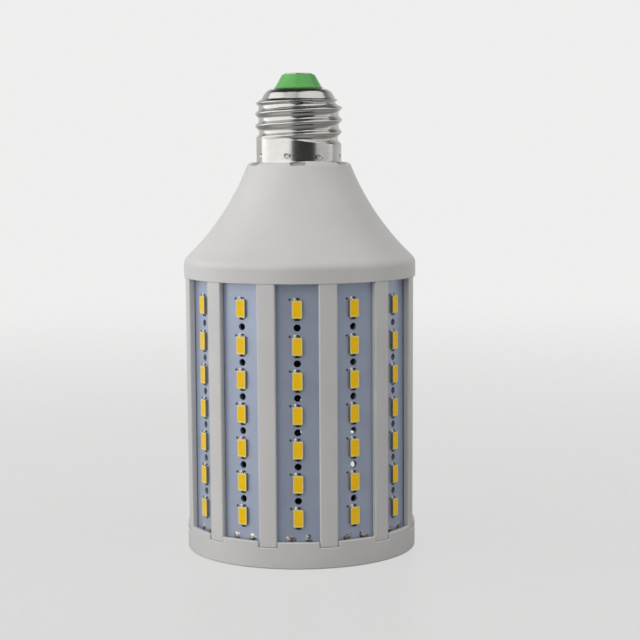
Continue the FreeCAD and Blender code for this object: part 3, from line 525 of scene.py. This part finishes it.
def drop(seed):
    """A hand-made drop whose radius swells with the cosines of two and three times the turn.

    Its height falls off as 1 - s^2 towards the edge, where s is the share of the radius, and
    leans to one side by the sine of the turn. The wire's end makes a step in the middle.
    """
    turn = np.arange(DROP_SIDES)[None] * 2 * np.pi / DROP_SIDES
    phase = seed * DROP_PHASE
    swell = (1 + OVAL_SWELL * np.cos(2 * turn + phase)
             + THREE_WAY_SWELL * np.cos(3 * turn + THREE_WAY_PHASE * phase))
    lean = DROP_LEAN * np.sin(turn + phase) * DROP_SHARES
    radius = np.concatenate([DROP_RADIUS * swell * DROP_SHARES, WIRE_RADII + 0 * turn])
    out = np.concatenate([DROP_HEIGHT * (1 - DROP_SHARES ** 2) * (1 + lean),
                          WIRE_LEVELS + 0 * turn])
    loops = np.stack([radius * np.cos(turn), out, radius * np.sin(turn)], axis=-1)
    return [grid(loops, 0, False), lid(loops[0]), lid(loops[-1])]


def solder_drops(solder):
    """Two drops on each strip, each with a shape of its own."""
    patches = []
    for number in range(STRIPS):
        for side, across in enumerate(DROP_ACROSS):
            place = np.array([across, 0, DROP_LEVEL])
            for points, faces, finish in drop(2 * number + side):
                patches.append((on_strip(points + place, number), faces, finish))
    return piece("link_solder", patches, [solder], ["strip_solder"])


tinned = grained("tinned wire", TINNED_LIGHT, TINNED_DARK, 2 * mm, 0.2 * mm, (0.25, 0.4),
                 0.004 * mm, 1.0)
# The hand solder's dark patches are painted dark reflection.
hand_solder = grained("hand solder and flux", SOLDER_LIGHT, SOLDER_PAINTED_DARK, 0.6 * mm, 0.25 * mm,
                      (0.22, 0.42), 0.05 * mm, 1.0)
solder_drops(hand_solder)
dress(tinned, "strip_link_wires")

# End board: a round aluminium board in the foot, with fourteen diodes that face down. Three
# screws with a cross recess hold it to the ring's bosses.
END_FACE = 2.2 * mm
END_CIRCLES = ((10, 20.5 * mm, 0.5), (4, 9.5 * mm, 0.0))    # diodes, radius, turn in steps
HEAD_RADIUS = 2.1 * mm
HEAD_HEIGHT = 1.3 * mm
HEAD_CROWN = 0.25 * mm
HEAD_SHOULDER = 0.17 * mm
HEAD_EDGE = 0.35 * mm
HEAD_ROUND = 0.3 * mm
FACE_RADIUS = 0.8 * HEAD_RADIUS
RECESS_HALF = 1.15 * mm
RECESS_BAR = 0.3 * mm
RECESS_DEPTH = 0.75 * mm
RECESS_SIDE_SLOPE = 0.1 * mm
RECESS_END_SLOPE = 0.25 * mm
SHANK_RADIUS = 1.1 * mm
SHANK_TOP = 7.4 * mm
STEEL_LIGHT = (0.62, 0.62, 0.63)
STEEL_DARK = (0.5, 0.5, 0.52)


def end_diodes(finishes):
    """The same packages in two circles under the end board."""
    patches = []
    for count, circle, offset in END_CIRCLES:
        for index in range(count):
            turn = (index + offset) * 2 * np.pi / count
            for points, faces, finish in diode():
                across, out, along = points[:, 0], points[:, 1], circle + points[:, 2]
                moved = np.stack([across * np.cos(turn) + along * np.sin(turn),
                                  across * np.sin(turn) - along * np.cos(turn),
                                  END_FACE - out], axis=-1)
                patches.append((moved, faces, finish))
    return piece("end_diodes", patches, finishes, ["end_board_leds"])


def screw():
    """A screw about its own axis: at each turn the head's section dips into the cross recess.

    The recess is RECESS_DEPTH deep within RECESS_BAR of either bar's middle line, out to
    RECESS_HALF, and its walls slope. The face is crowned with the square of the radius.
    """
    turn = np.arange(96)[:, None] * 2 * np.pi / 96
    reach = np.linspace(0, FACE_RADIUS, 22)[None]
    side = np.minimum(np.abs(reach * np.cos(turn)), np.abs(reach * np.sin(turn)))
    inside = (np.clip((RECESS_BAR - side) / RECESS_SIDE_SLOPE, 0, 1)
              * np.clip((RECESS_HALF - reach) / RECESS_END_SLOPE, 0, 1))
    low = END_FACE - HEAD_HEIGHT
    crown = low + HEAD_CROWN * (reach / HEAD_RADIUS) ** 2 + RECESS_DEPTH * inside
    rim = rounded([(FACE_RADIUS, low + HEAD_SHOULDER), (HEAD_RADIUS, low + HEAD_EDGE),
                   (HEAD_RADIUS, END_FACE), (SHANK_RADIUS, END_FACE),
                   (SHANK_RADIUS, SHANK_TOP), (0, SHANK_TOP)],
                  [0, HEAD_ROUND, 0, 0, 0, 0], [0, 4, 0, 0, 0, 0])[None, 1:]
    radius = np.concatenate([reach + 0 * turn, rim[..., 0] + 0 * turn], axis=1)
    height = np.concatenate([crown, rim[..., 1] + 0 * turn], axis=1)
    return grid(placed(radius, turn, height), 0, True, False)


def end_screws(steel):
    """The same screw in each of the ring's bosses."""
    points, faces, finish = screw()
    patches = [(points + placed(BOSS_CIRCLE, index * 2 * np.pi / BOSSES, 0), faces, finish)
               for index in range(BOSSES)]
    return piece("cross_screws", patches, [steel], ["end_board_screws"])


steel = grained("zinc-plated steel", STEEL_LIGHT, STEEL_DARK, 2 * mm, 0.15 * mm, (0.26, 0.4),
                0.004 * mm, 1.0)
dress(resist, "end_board")
end_diodes([resin, phosphor, tin, side])
end_screws(steel)

# Driver: a glass-fibre board in the cone's rails, with the transformer and its capacitors,
# choke, rectifier, chip and fuse, and insulated wires to the cap and to the end board.
DRIVER_FINISHES = (          # name, light, dark, patch in mm, roughness, CAD nodes
    ("green laminate", (0.05, 0.2, 0.07), (0.035, 0.15, 0.05), 6, (0.3, 0.42),
     ("driver_board",)),
    ("ferrite", (0.05, 0.048, 0.047), (0.03, 0.03, 0.03), 4, (0.6, 0.8),
     ("transformer_core",)),
    ("yellow winding tape", (0.8, 0.55, 0.05), (0.72, 0.47, 0.04), 5, (0.3, 0.45),
     ("transformer_winding",)),
    ("film capacitor box", (0.5, 0.36, 0.04), (0.44, 0.3, 0.03), 5, (0.35, 0.5),
     ("input_capacitor",)),
    ("capacitor sleeve", (0.03, 0.035, 0.06), (0.02, 0.024, 0.045), 5, (0.25, 0.4),
     ("output_capacitor",)),
    ("enamelled copper", (0.62, 0.25, 0.1), (0.5, 0.18, 0.07), 2, (0.25, 0.4),
     ("filter_choke",)),
    ("black epoxy", (0.028, 0.028, 0.03), (0.02, 0.02, 0.02), 3, (0.4, 0.6),
     ("bridge_rectifier", "driver_chip")),
    ("fuse lacquer", (0.14, 0.3, 0.2), (0.1, 0.24, 0.16), 3, (0.3, 0.5),
     ("fuse_resistor",)),
    ("red wire insulation", (0.55, 0.03, 0.025), (0.47, 0.025, 0.02), 4, (0.35, 0.5),
     ("contact_wire", "output_wire_positive")),
    ("black wire insulation", (0.03, 0.03, 0.032), (0.02, 0.02, 0.022), 4, (0.35, 0.5),
     ("shell_wire", "output_wire_negative")),
)
for name, light, dark, patch, rough, nodes_dressed in DRIVER_FINISHES:
    dress(grained(name, light, dark, patch * mm, 0.2 * mm, rough, 0.01 * mm), *nodes_dressed)

# Housing: one injection moulding in white plastic. Twelve ribs hold the strips in slots, the
# skirt ties them at the top, and the cone flares in to the neck under the cap. Six notches
# mark the top of the neck, and the spigot above it carries the cap.
SKIRT_RADIUS = 35.05 * mm
SKIRT_BOTTOM = 82.6 * mm
SKIRT_TOP = 86.43 * mm
SKIRT_ROUND = 3.2 * mm
SKIRT_EDGE = 0.18 * mm
FLARE_START = math.radians(46.4)
FLARE_END = math.radians(21.9)
FLARE_NECK = 15.755 * mm
NECK_FLAT = 0.05 * mm
NECK_ROUND = 1.8 * mm
WALL = 1.8 * mm
NECK_WALL = 2.4 * mm
CAGE_INNER = 29.5 * mm
SLOT_BACK = 30.98 * mm
BACK_BOTTOM = 80.6 * mm
SPIGOT = 12.4 * mm
SPIGOT_TIP = 11.7 * mm
SPIGOT_BORE = 10.2 * mm
SPIGOT_STEP = 4.0 * mm
SPIGOT_HEIGHT = 12.0 * mm
NOTCHES = 6
NOTCH_HALF = 2.325 * mm
NOTCH_DEPTH = 0.95 * mm
NOTCH_CORNER = 0.7 * mm
RIB_RADIUS = 34.83 * mm
RIB_DRAFT = 0.0042
RIB_ROUND = 0.45 * mm
WINDOW_HALF = 6.2 * mm
SLOT_HALF = 7.92 * mm
SLOT_FRONT = 32.22 * mm
BACK_HALF = 5.8 * mm
RIB_LAP = 1.2 * mm
RIB_FOOT_EDGE = 0.42 * mm
RIB_FOOT_TOP = RING_SEAT + 2 * mm
RIB_BACK_EDGE = 0.1 * mm
RIB_LIP_EDGE = 0.3 * mm
RIB_FACE_SHARE = 0.78


def arc_points(centre, radius, start, end, count):
    """Points of an arc in a section, with its angles counted from the outward direction."""
    turn = np.linspace(start, end, count)[:, None]
    return np.array(centre) + radius * np.concatenate([np.cos(turn), np.sin(turn)], axis=1)


def cone_section(dip):
    """The closed section of the skirt, cone, neck and spigot, the notch being this deep.

    The outside is the skirt's round, then the hollow flare about a point outside the lamp,
    whose slope to the axis eases from FLARE_START to FLARE_END, then the neck's round. The
    inside runs a wall's thickness behind the flare. A notch cuts off what stands higher than
    its floor.
    """
    skirt = arc_points((SKIRT_RADIUS - SKIRT_ROUND, SKIRT_TOP), SKIRT_ROUND, 0, FLARE_START, 9)
    start = skirt[-1]
    radius = (start[0] - FLARE_NECK) / (math.cos(FLARE_END) - math.cos(FLARE_START))
    centre = start + radius * np.array([math.cos(FLARE_START), math.sin(FLARE_START)])
    flare = arc_points(centre, -radius, FLARE_START, FLARE_END, 44)[1:]
    along = np.array([-math.sin(FLARE_END), math.cos(FLARE_END)])
    normal = np.array([math.cos(FLARE_END), math.sin(FLARE_END)])
    neck_centre = flare[-1] + NECK_FLAT * along - NECK_ROUND * normal
    neck = arc_points(neck_centre, NECK_ROUND, FLARE_END, np.pi / 2, 12)
    top = neck[-1][1]
    low_turn = math.acos((centre[0] - CAGE_INNER) / (radius + WALL))
    inner = arc_points(centre, -(radius + WALL), FLARE_END, low_turn, 16)
    edge = rounded([(SLOT_BACK, SKIRT_BOTTOM), (SKIRT_RADIUS, SKIRT_BOTTOM), tuple(skirt[0])],
                   [0, SKIRT_EDGE, 0], [0, 4, 0])[1:-1]
    step = top + SPIGOT_STEP
    neck[:, 1] = np.minimum(neck[:, 1], top - dip)
    upper = np.array([(SPIGOT, top - dip), (SPIGOT, step), (SPIGOT_TIP, step + SPIGOT - SPIGOT_TIP),
                      (SPIGOT_TIP, top + SPIGOT_HEIGHT), (SPIGOT_BORE, top + SPIGOT_HEIGHT),
                      (SPIGOT_BORE, top - NECK_WALL), (inner[0][0], top - NECK_WALL)])
    lower = np.array([(CAGE_INNER, BACK_BOTTOM), (SLOT_BACK, BACK_BOTTOM),
                      (SLOT_BACK, SKIRT_BOTTOM)])
    return np.concatenate([edge, skirt, flare, neck, upper, inner, lower])


def rib_section(radius):
    """The section of a rib about its own middle line: flange, web and inner flange.

    Its corners are those of the windows and slots of the strips on both sides, which stand
    square to the strips, so the rib's sides lean by half a step.
    """
    lean = STRIP_STEP / 2
    corners = np.array([(BACK_HALF, math.sqrt(CAGE_INNER ** 2 - BACK_HALF ** 2)),
                        (BACK_HALF, SLOT_BACK), (SLOT_HALF, SLOT_BACK),
                        (SLOT_HALF, SLOT_FRONT), (WINDOW_HALF, SLOT_FRONT),
                        (WINDOW_HALF, math.sqrt(radius ** 2 - WINDOW_HALF ** 2))])
    across = corners[:, 0] * math.cos(lean) - corners[:, 1] * math.sin(lean)
    forward = corners[:, 0] * math.sin(lean) + corners[:, 1] * math.cos(lean)
    face = across[-1] * RIB_FACE_SHARE * np.linspace(1, -1, 7)
    front = np.stack([face, np.sqrt(radius ** 2 - face ** 2)], axis=-1)
    left = np.stack([across, forward], axis=-1)
    right = left[::-1] * (-1, 1)
    outline = np.concatenate([left, front, right])
    radii = [RIB_BACK_EDGE, 0, 0, 0, RIB_LIP_EDGE, RIB_ROUND]
    steps = [2, 0, 0, 0, 2, 6]
    plain = [0] * len(face)
    return rounded(outline, radii + plain + radii[::-1], steps + plain + steps[::-1])


def ribs():
    """Twelve ribs from the ring's seat into the skirt, with the draft of the mould.

    The section shrinks towards the ring by the draft, and its foot is rounded off.
    """
    edge = RIB_FOOT_EDGE
    turn = np.linspace(0, np.pi / 2, 5)
    level = np.concatenate([RING_SEAT + edge * (1 - np.cos(turn)),
                            np.linspace(RIB_FOOT_TOP, SKIRT_BOTTOM + RIB_LAP, 8)])
    inset = np.concatenate([edge * (1 - np.sin(turn)), np.zeros(8)])
    top = rib_section(RIB_RADIUS)
    foot = rib_section(RIB_RADIUS - RIB_DRAFT * (SKIRT_BOTTOM - RING_SEAT))
    share = ((SKIRT_BOTTOM - level) / (SKIRT_BOTTOM - RING_SEAT))[:, None, None]
    section = top + share * (foot - top)
    radius = np.hypot(section[..., 0], section[..., 1]) - inset[:, None]
    azimuth = np.arctan2(section[..., 0], section[..., 1])
    patches = []
    for number in range(STRIPS):
        points = placed(radius, azimuth + (number + 0.5) * STRIP_STEP, level[:, None])
        patches += [grid(points, 0, False), lid(points[0]), lid(points[-1])]
    return patches


def housing(plastic):
    """The skirt, cone and spigot in one turn, with the notches round the neck, and the ribs."""
    offset, share, blend = stations(NOTCH_HALF, NOTCH_CORNER, NOTCH_DEPTH, 5, 34)
    plain = cone_section(0)
    notched = cone_section(NOTCH_DEPTH)
    profile = plain + share[:, None, None] * (notched - plain)
    patches = [grid(around(profile, offset, blend, 2 * np.pi / NOTCHES, NOTCHES))]
    return piece("housing_moulding", patches + ribs(), [plastic], ["housing"])


housing(plastic)

# Screw shell: thin sheet brass, drawn, rolled with a round right-hand thread and plated with
# nickel. Eight punch marks in the plain band stake it to the spigot. The lowest groove fades
# in over a third of a turn, and the thread runs out level under the sloping shoulder.
CAP_BASE = 116.9 * mm
FOOT_RADIUS = 12.98 * mm
FOOT_TOP = CAP_BASE + 0.4 * mm
BAND_RADIUS = 12.8 * mm
BAND_TOP = 123.6 * mm
CREST_RADIUS = 13.12 * mm
CREST_BOTTOM = 127.2 * mm
CREST_TOP = 134.6 * mm
SHOULDER_RADIUS = 11.2 * mm
SHOULDER_BOTTOM = 135.75 * mm
DOME_RADIUS = 9.9 * mm
DOME_LEVEL = 137.9 * mm
TOP_RADIUS = 8.6 * mm
THREAD_DEPTH = 1.05 * mm
CREST_SHARPNESS = 1.7
PITCH = 3.629 * mm
CREST_HEIGHT = 128.55 * mm
LOWEST_CREST = CREST_HEIGHT - PITCH
GROOVE_START = math.radians(-36)
GROOVE_GROWTH = math.radians(110)
GROOVE_LEAST = 0.3
LAST_GROOVE = 134.2 * mm
RUN_OUT_DEPTH = 0.85 * mm
RUN_OUT_LEVEL = 134.75 * mm
RUN_OUT_HEIGHT = 0.7 * mm
SHELL_WALL = 0.3 * mm
SHELL_SPACING = 0.13 * mm
TOP_MARGIN = 0.05 * mm
INSIDE_STEP = 6
SHELL_TOP = 138.72 * mm
SHELL_HOLE = 6.4 * mm
PUNCHES = 8
PUNCH_AZIMUTH = math.radians(-15.4)
PUNCH_LEVEL = 118.75 * mm
PUNCH_SHIFT = 0.35 * mm
PUNCH_RADIUS = 0.7 * mm
PUNCH_WALL = 0.55
PUNCH_DEPTH = 0.34 * mm
PUNCH_REACH = math.radians(4)
BURR_HEIGHT = 0.05 * mm
BURR_AWAY = 1.12
BURR_WIDTH = 0.14
NICKEL_LIGHT = (0.585, 0.58, 0.554)
NICKEL_DARK = (0.535, 0.53, 0.505)


def eased(share):
    """A share that is held between 0 and 1 and eases in and out: 3 s^2 - 2 s^3."""
    share = np.clip(share, 0, 1)
    return share ** 2 * (3 - 2 * share)


def resampled(outline, spacing):
    """An open outline as points evenly spaced along its length."""
    run = np.concatenate([[0], np.cumsum(np.hypot(*np.diff(outline, axis=0).T))])
    even = np.linspace(0, run[-1], int(run[-1] / spacing) + 1)
    return np.stack([np.interp(even, run, outline[:, 0]), np.interp(even, run, outline[:, 1])],
                    axis=-1)


def shell_surface(azimuth, radius, height):
    """The shell's outside: the plain form, less the thread's grooves and the punch marks.

    The thread's phase is the height above a crest that climbs by one pitch in a turn. With
    c = (1 + cos(phase)) / 2, which is 1 on a crest and 0 in the middle of a groove, a groove
    is depth * (1 - c ^ sharpness), so the crests are narrow and the grooves wide. The lowest
    groove starts as a thin line under its crest, and widens and deepens over a third of a
    turn. The last one deepens as it runs out. A punch mark is a round dent with steep walls
    and a slightly raised edge.
    """
    climb = PITCH * azimuth / (2 * np.pi)
    above = (height - LOWEST_CREST - climb) / PITCH
    grown = eased((azimuth - GROOVE_START) / GROOVE_GROWTH)
    width = GROOVE_LEAST + (1 - GROOVE_LEAST) * grown
    turns = np.where(above < 0, np.maximum(above / width, -1), above)
    groove = 1 - ((1 + np.cos(2 * np.pi * turns)) / 2) ** CREST_SHARPNESS
    last = np.clip((height - LAST_GROOVE + PITCH / 2) / (PITCH / 2), 0, 1)
    deeper = RUN_OUT_DEPTH * last * np.clip(azimuth / math.pi + 0.5, 0, 1)
    fade = np.where(above < 0, grown, 1) * (1 - eased((height - RUN_OUT_LEVEL) / RUN_OUT_HEIGHT))
    form = radius - (THREAD_DEPTH + deeper) * groove * fade
    step = 2 * np.pi / PUNCHES
    across = ((azimuth - PUNCH_AZIMUTH + step / 2) % step - step / 2) * BAND_RADIUS
    up = height - PUNCH_LEVEL + PUNCH_SHIFT * np.sin(2 * azimuth)
    away = np.hypot(across, up) / PUNCH_RADIUS
    dent = PUNCH_DEPTH * eased((1 - away) / PUNCH_WALL)
    burr = BURR_HEIGHT * np.exp(-((away - BURR_AWAY) / BURR_WIDTH) ** 2)
    return form - dent + burr


def screw_shell(nickel):
    """The shell over one turn, from -180 degrees to 180, outside and inside.

    Stations stand close at the punch marks and wide between them. The inside is coarser, and
    lies a wall's thickness further in, or further down under the flat top.
    """
    step = 2 * np.pi / PUNCHES
    near = np.linspace(-PUNCH_REACH, PUNCH_REACH, 17)
    wide = np.linspace(near[-1], step - near[-1], 16)[1:-1]
    azimuth = (PUNCH_AZIMUTH + np.concatenate([near, wide])[None]
               + np.arange(PUNCHES)[:, None] * step).ravel()
    azimuth = np.sort((azimuth + math.pi) % (2 * math.pi) - math.pi)[:, None]
    plain = rounded([(FOOT_RADIUS, CAP_BASE), (BAND_RADIUS, FOOT_TOP), (BAND_RADIUS, BAND_TOP),
                     (CREST_RADIUS, CREST_BOTTOM), (CREST_RADIUS, CREST_TOP),
                     (SHOULDER_RADIUS, SHOULDER_BOTTOM), (DOME_RADIUS, DOME_LEVEL),
                     (TOP_RADIUS, SHELL_TOP), (SHELL_HOLE, SHELL_TOP)],
                    np.array([0, 0.8, 6, 6, 0.55, 0.5, 2.2, 1.1, 0]) * mm,
                    [0, 5, 5, 5, 6, 6, 8, 6, 0])
    plain = resampled(plain, SHELL_SPACING)[None]
    level = plain[..., 1]
    outside = shell_surface(azimuth, plain[..., 0], level)
    inner_level = level[:, ::-INSIDE_STEP]
    on_top = inner_level > SHELL_TOP - TOP_MARGIN
    inside = outside[:, ::-INSIDE_STEP] - np.where(on_top, 0, SHELL_WALL)
    inner_level = inner_level - np.where(on_top, SHELL_WALL, 0)
    radius = np.concatenate([outside, inside], axis=1)
    height = np.concatenate([level, inner_level], axis=1) + 0 * azimuth
    return piece("threaded_shell", [grid(placed(radius, azimuth, height))], [nickel],
                 ["screw_shell"], 50)


nickel = grained("nickel plate", NICKEL_LIGHT, NICKEL_DARK, 5 * mm, 0.6 * mm, (0.17, 0.25),
                 0.004 * mm, 1.0, (1, 1, 3))
screw_shell(nickel)

# Insulator: a green moulding in the top of the shell, with its flange inside the shell and a
# smooth cone outside. The centre contact is a nickel-plated rivet through it, with a shallow
# dish in its face.
INSULATOR_FOOT = 138.72 * mm
INSULATOR_TOP = 143.12 * mm
INSULATOR_BASE = 7.3 * mm
INSULATOR_CROWN = 4.9 * mm
BEAD_TOP = INSULATOR_FOOT + 0.5 * mm
CONE_FOOT = INSULATOR_FOOT + 0.66 * mm
CONE_BASE = INSULATOR_BASE - 0.3 * mm
FLANGE_RADIUS = 7.7 * mm
FLANGE_BOTTOM = 136.72 * mm
FLANGE_TOP = 138.42 * mm
FOOT_GAP = 0.22 * mm
STEM_RADIUS = 1.1 * mm
CONTACT_RADIUS = 4.3 * mm
CONTACT_TOP = 143.47 * mm
CONTACT_BOTTOM = 142.77 * mm
STEM_BOTTOM = 135.47 * mm
INSULATOR_NECK = 6.38 * mm
SOCKET_RADIUS = CONTACT_RADIUS + 0.05 * mm
DISH_RIM = 2.6 * mm
DISH_RADIUS = 2.0 * mm
DISH_FLOOR = CONTACT_TOP - 0.12 * mm
GREEN_LIGHT = (0.15, 0.53, 0.13)
GREEN_DARK = (0.12, 0.46, 0.105)


def cap_insulator(green):
    """The flange, the neck in the shell's hole, a bead round the foot, and the cone.

    The foot is cut back under the bead, which leaves a thin gap above the shell.
    """
    outline = rounded(
        [(STEM_RADIUS, FLANGE_BOTTOM), (FLANGE_RADIUS, FLANGE_BOTTOM), (FLANGE_RADIUS, FLANGE_TOP),
         (INSULATOR_NECK, FLANGE_TOP), (INSULATOR_NECK, INSULATOR_FOOT),
         (INSULATOR_NECK + FOOT_GAP, INSULATOR_FOOT),
         (INSULATOR_NECK + 2 * FOOT_GAP, INSULATOR_FOOT + FOOT_GAP),
         (INSULATOR_BASE, INSULATOR_FOOT + FOOT_GAP), (INSULATOR_BASE, BEAD_TOP),
         (CONE_BASE, CONE_FOOT), (INSULATOR_CROWN, INSULATOR_TOP),
         (SOCKET_RADIUS, INSULATOR_TOP), (SOCKET_RADIUS, CONTACT_BOTTOM),
         (STEM_RADIUS, CONTACT_BOTTOM)],
        np.array([0, 0.2, 0.2, 0, 0, 0, 0, 0.08, 0.12, 0.15, 0.3, 0.1, 0, 0]) * mm,
        [0, 3, 3, 0, 0, 0, 0, 3, 4, 4, 6, 3, 0, 0])
    return piece("green_insulator", [turned(outline, 128)], [green],
                 ["cap_insulator"])


def centre_contact(nickel):
    """The rivet: a stem, a disc with a rolled edge, and a shallow dish in its face."""
    outline = rounded(
        [(0, STEM_BOTTOM), (STEM_RADIUS, STEM_BOTTOM), (STEM_RADIUS, CONTACT_BOTTOM),
         (CONTACT_RADIUS, CONTACT_BOTTOM), (CONTACT_RADIUS, CONTACT_TOP),
         (DISH_RIM, CONTACT_TOP), (DISH_RADIUS, DISH_FLOOR), (0, DISH_FLOOR)],
        [0, 0.15 * mm, 0, 0, 0.3 * mm, 0.6 * mm, 0.6 * mm, 0], [0, 3, 0, 0, 6, 3, 3, 0])
    return piece("contact_rivet", [turned(outline, 96)], [nickel],
                 ["centre_contact"])


green = grained("green insulator", GREEN_LIGHT, GREEN_DARK, 4 * mm, 0.5 * mm, (0.24, 0.32),
                0.003 * mm, gloss=0.3)
cap_insulator(green)
centre_contact(nickel)

# Studio: a pale floor that runs out into a pale background, a large soft light on the left, a
# smaller one on the right, two above, one behind that nothing mirrors, and a dim room that
# the nickel mirrors.
BACKDROP = (0.86, 0.86, 0.855)
FLOOR_COLOUR = (0.38, 0.38, 0.377)
FLOOR_RADIUS = 3.0
FLOOR_SIDES = 128
FLOOR_LIFT = 0.68
BEHIND_LAMP = 0.5
FADE_START = 0.05
FADE_END = 0.9
ROOM_LEVEL = 0.14
ROOM_FRONT = 0.03
ROOM_BACK = 0.8
PALE_FROM = -0.2
PALE_TO = 0.75
CEILING_LOW = 0.3
CEILING_HIGH = 0.7
LAMP_MIDDLE = 80 * mm
LIGHTS = (                   # name, azimuth, elevation, distance, width, height, power
    ("key light", -68, 19, 0.85, 2.05, 1.38, 12.5),
    ("fill light", 76, 10, 1.0, 1.1, 0.36, 1.1),
    ("upper left light", -36, 64, 0.9, 0.36, 0.3, 0.3),
    ("upper right light", 62, 56, 0.9, 1.3, 0.75, 3.2),
)
REAR_LIGHT = ("rear light", 180, 25, 1.0, 1.4, 0.8, 3.0)


def combined(tree, operation, first, second):
    """The product of two values, or the larger one."""
    node = tree.nodes.new("ShaderNodeMath")
    node.operation = operation
    tree.links.new(first, node.inputs[0])
    tree.links.new(second, node.inputs[1])
    return node.outputs["Value"]


def mixed(tree, share, first, second):
    """A shader between two, with this share of the second."""
    node = tree.nodes.new("ShaderNodeMixShader")
    for index, source in enumerate((share, first, second)):
        tree.links.new(source, node.inputs[index])
    return node.outputs["Shader"]


def floor():
    """A flat disc that fades into the background's colour with the distance from the lamp.

    To the camera the background's colour has a share of FLOOR_LIFT under the lamp, and more
    further out. Reflections see that colour only on the floor behind the lamp.
    """
    turn = np.arange(FLOOR_SIDES) * 2 * np.pi / FLOOR_SIDES
    mesh = bpy.data.meshes.new("floor")
    rim = placed(FLOOR_RADIUS, turn, 0)
    mesh.from_pydata(rim.tolist(), [], [list(range(FLOOR_SIDES))])
    disc = bpy.data.objects.new("floor", mesh)
    bpy.context.scene.collection.objects.link(disc)
    material = grained("pale floor", FLOOR_COLOUR, FLOOR_COLOUR, 0.2, 0.02, (0.3, 0.36), 1e-6)
    tree = material.node_tree
    nodes = tree.nodes
    place = nodes.new("ShaderNodeTexCoord").outputs["Object"]
    away = nodes.new("ShaderNodeVectorMath")
    away.operation = "LENGTH"
    tree.links.new(place, away.inputs[0])
    parts = nodes.new("ShaderNodeSeparateXYZ")
    tree.links.new(place, parts.inputs["Vector"])
    fade = ranged(tree, away.outputs["Value"], FADE_START, FADE_END, 0, 1, True)
    behind = ranged(tree, parts.outputs["Y"], 0, BEHIND_LAMP, 0, 1, True)
    mirrored = combined(tree, "MULTIPLY", behind, fade)
    rays = nodes.new("ShaderNodeLightPath").outputs
    share = combined(tree, "MULTIPLY", ranged(tree, fade, 0, 1, FLOOR_LIFT, 1),
                     rays["Is Camera Ray"])
    for ray in ("Is Glossy Ray", "Is Transmission Ray"):
        share = combined(tree, "MAXIMUM", share, combined(tree, "MULTIPLY", mirrored, rays[ray]))
    glow = nodes.new("ShaderNodeEmission")
    glow.inputs["Color"].default_value = (*BACKDROP, 1)
    seen = mixed(tree, share, nodes["Principled BSDF"].outputs["BSDF"], glow.outputs["Emission"])
    tree.links.new(seen, nodes["Material Output"].inputs["Surface"])
    mesh.materials.append(material)


def room():
    """The surroundings, pale to the camera and dim as a light on the lamp.

    Reflections see them pale behind the lamp up to the ceiling's height, and dark elsewhere.
    """
    world = bpy.data.worlds.new("studio")
    bpy.context.scene.world = world
    world.use_nodes = True
    tree = world.node_tree
    nodes = tree.nodes
    parts = nodes.new("ShaderNodeSeparateXYZ")
    tree.links.new(nodes.new("ShaderNodeTexCoord").outputs["Generated"], parts.inputs["Vector"])
    behind = ranged(tree, parts.outputs["Y"], PALE_FROM, PALE_TO, 0, 1, True)
    below = ranged(tree, parts.outputs["Z"], CEILING_LOW, CEILING_HIGH, 1, 0, True)
    mirror_level = ranged(tree, combined(tree, "MULTIPLY", behind, below), 0, 1, ROOM_FRONT,
                          ROOM_BACK)
    plain, mirror, backdrop = (nodes.new("ShaderNodeBackground") for _ in range(3))
    for background in (plain, mirror, backdrop):
        background.inputs["Color"].default_value = (*BACKDROP, 1)
    plain.inputs["Strength"].default_value = ROOM_LEVEL
    tree.links.new(mirror_level, mirror.inputs["Strength"])
    rays = nodes.new("ShaderNodeLightPath").outputs
    mirrored = combined(tree, "MAXIMUM", rays["Is Glossy Ray"], rays["Is Transmission Ray"])
    unseen = mixed(tree, mirrored, plain.outputs["Background"], mirror.outputs["Background"])
    seen = mixed(tree, rays["Is Camera Ray"], unseen, backdrop.outputs["Background"])
    tree.links.new(seen, nodes["World Output"].inputs["Surface"])


def soft_light(name, azimuth, elevation, distance, width, height, power):
    """A rectangular soft light that faces the lamp's middle."""
    data = bpy.data.lights.new(name, "AREA")
    data.shape = "RECTANGLE"
    data.size = width
    data.size_y = height
    data.energy = power
    lamp = bpy.data.objects.new(name, data)
    bpy.context.scene.collection.objects.link(lamp)
    turn = math.radians(azimuth)
    rise = math.radians(elevation)
    middle = Matrix.Translation((0, 0, LAMP_MIDDLE))
    lamp.matrix_world = (middle @ Matrix.Rotation(turn, 4, "Z")
                         @ Matrix.Rotation(math.pi / 2 - rise, 4, "X")
                         @ Matrix.Translation((0, 0, distance)))
    lamp.visible_camera = False
    return lamp


floor()
room()
for light in LIGHTS:
    soft_light(*light)
soft_light(*REAR_LIGHT).visible_glossy = False
bpy.context.scene.view_settings.view_transform = "Standard"

# Camera: a long lens a little above the lamp's middle and almost in front of it. It looks
# slightly down, and is turned and rolled by a small angle.
CAMERA_DISTANCE = 0.52394
CAMERA_HEIGHT = 0.12113
CAMERA_AZIMUTH = math.radians(1.567)
CAMERA_YAW = math.radians(0.905)
CAMERA_PITCH = math.radians(5.685)
CAMERA_ROLL = math.radians(-0.354)
CAMERA_LENS = 97.2
SENSOR_WIDTH = 36

view = bpy.data.cameras.new("camera")
view.lens = CAMERA_LENS
view.sensor_width = SENSOR_WIDTH
camera = bpy.data.objects.new("camera", view)
bpy.context.scene.collection.objects.link(camera)
stand = placed(CAMERA_DISTANCE, CAMERA_AZIMUTH, CAMERA_HEIGHT)
camera.matrix_world = (Matrix.Translation(stand) @ Matrix.Rotation(CAMERA_YAW, 4, "Z")
                       @ Matrix.Rotation(math.pi / 2 - CAMERA_PITCH, 4, "X")
                       @ Matrix.Rotation(CAMERA_ROLL, 4, "Z"))
bpy.context.scene.camera = camera
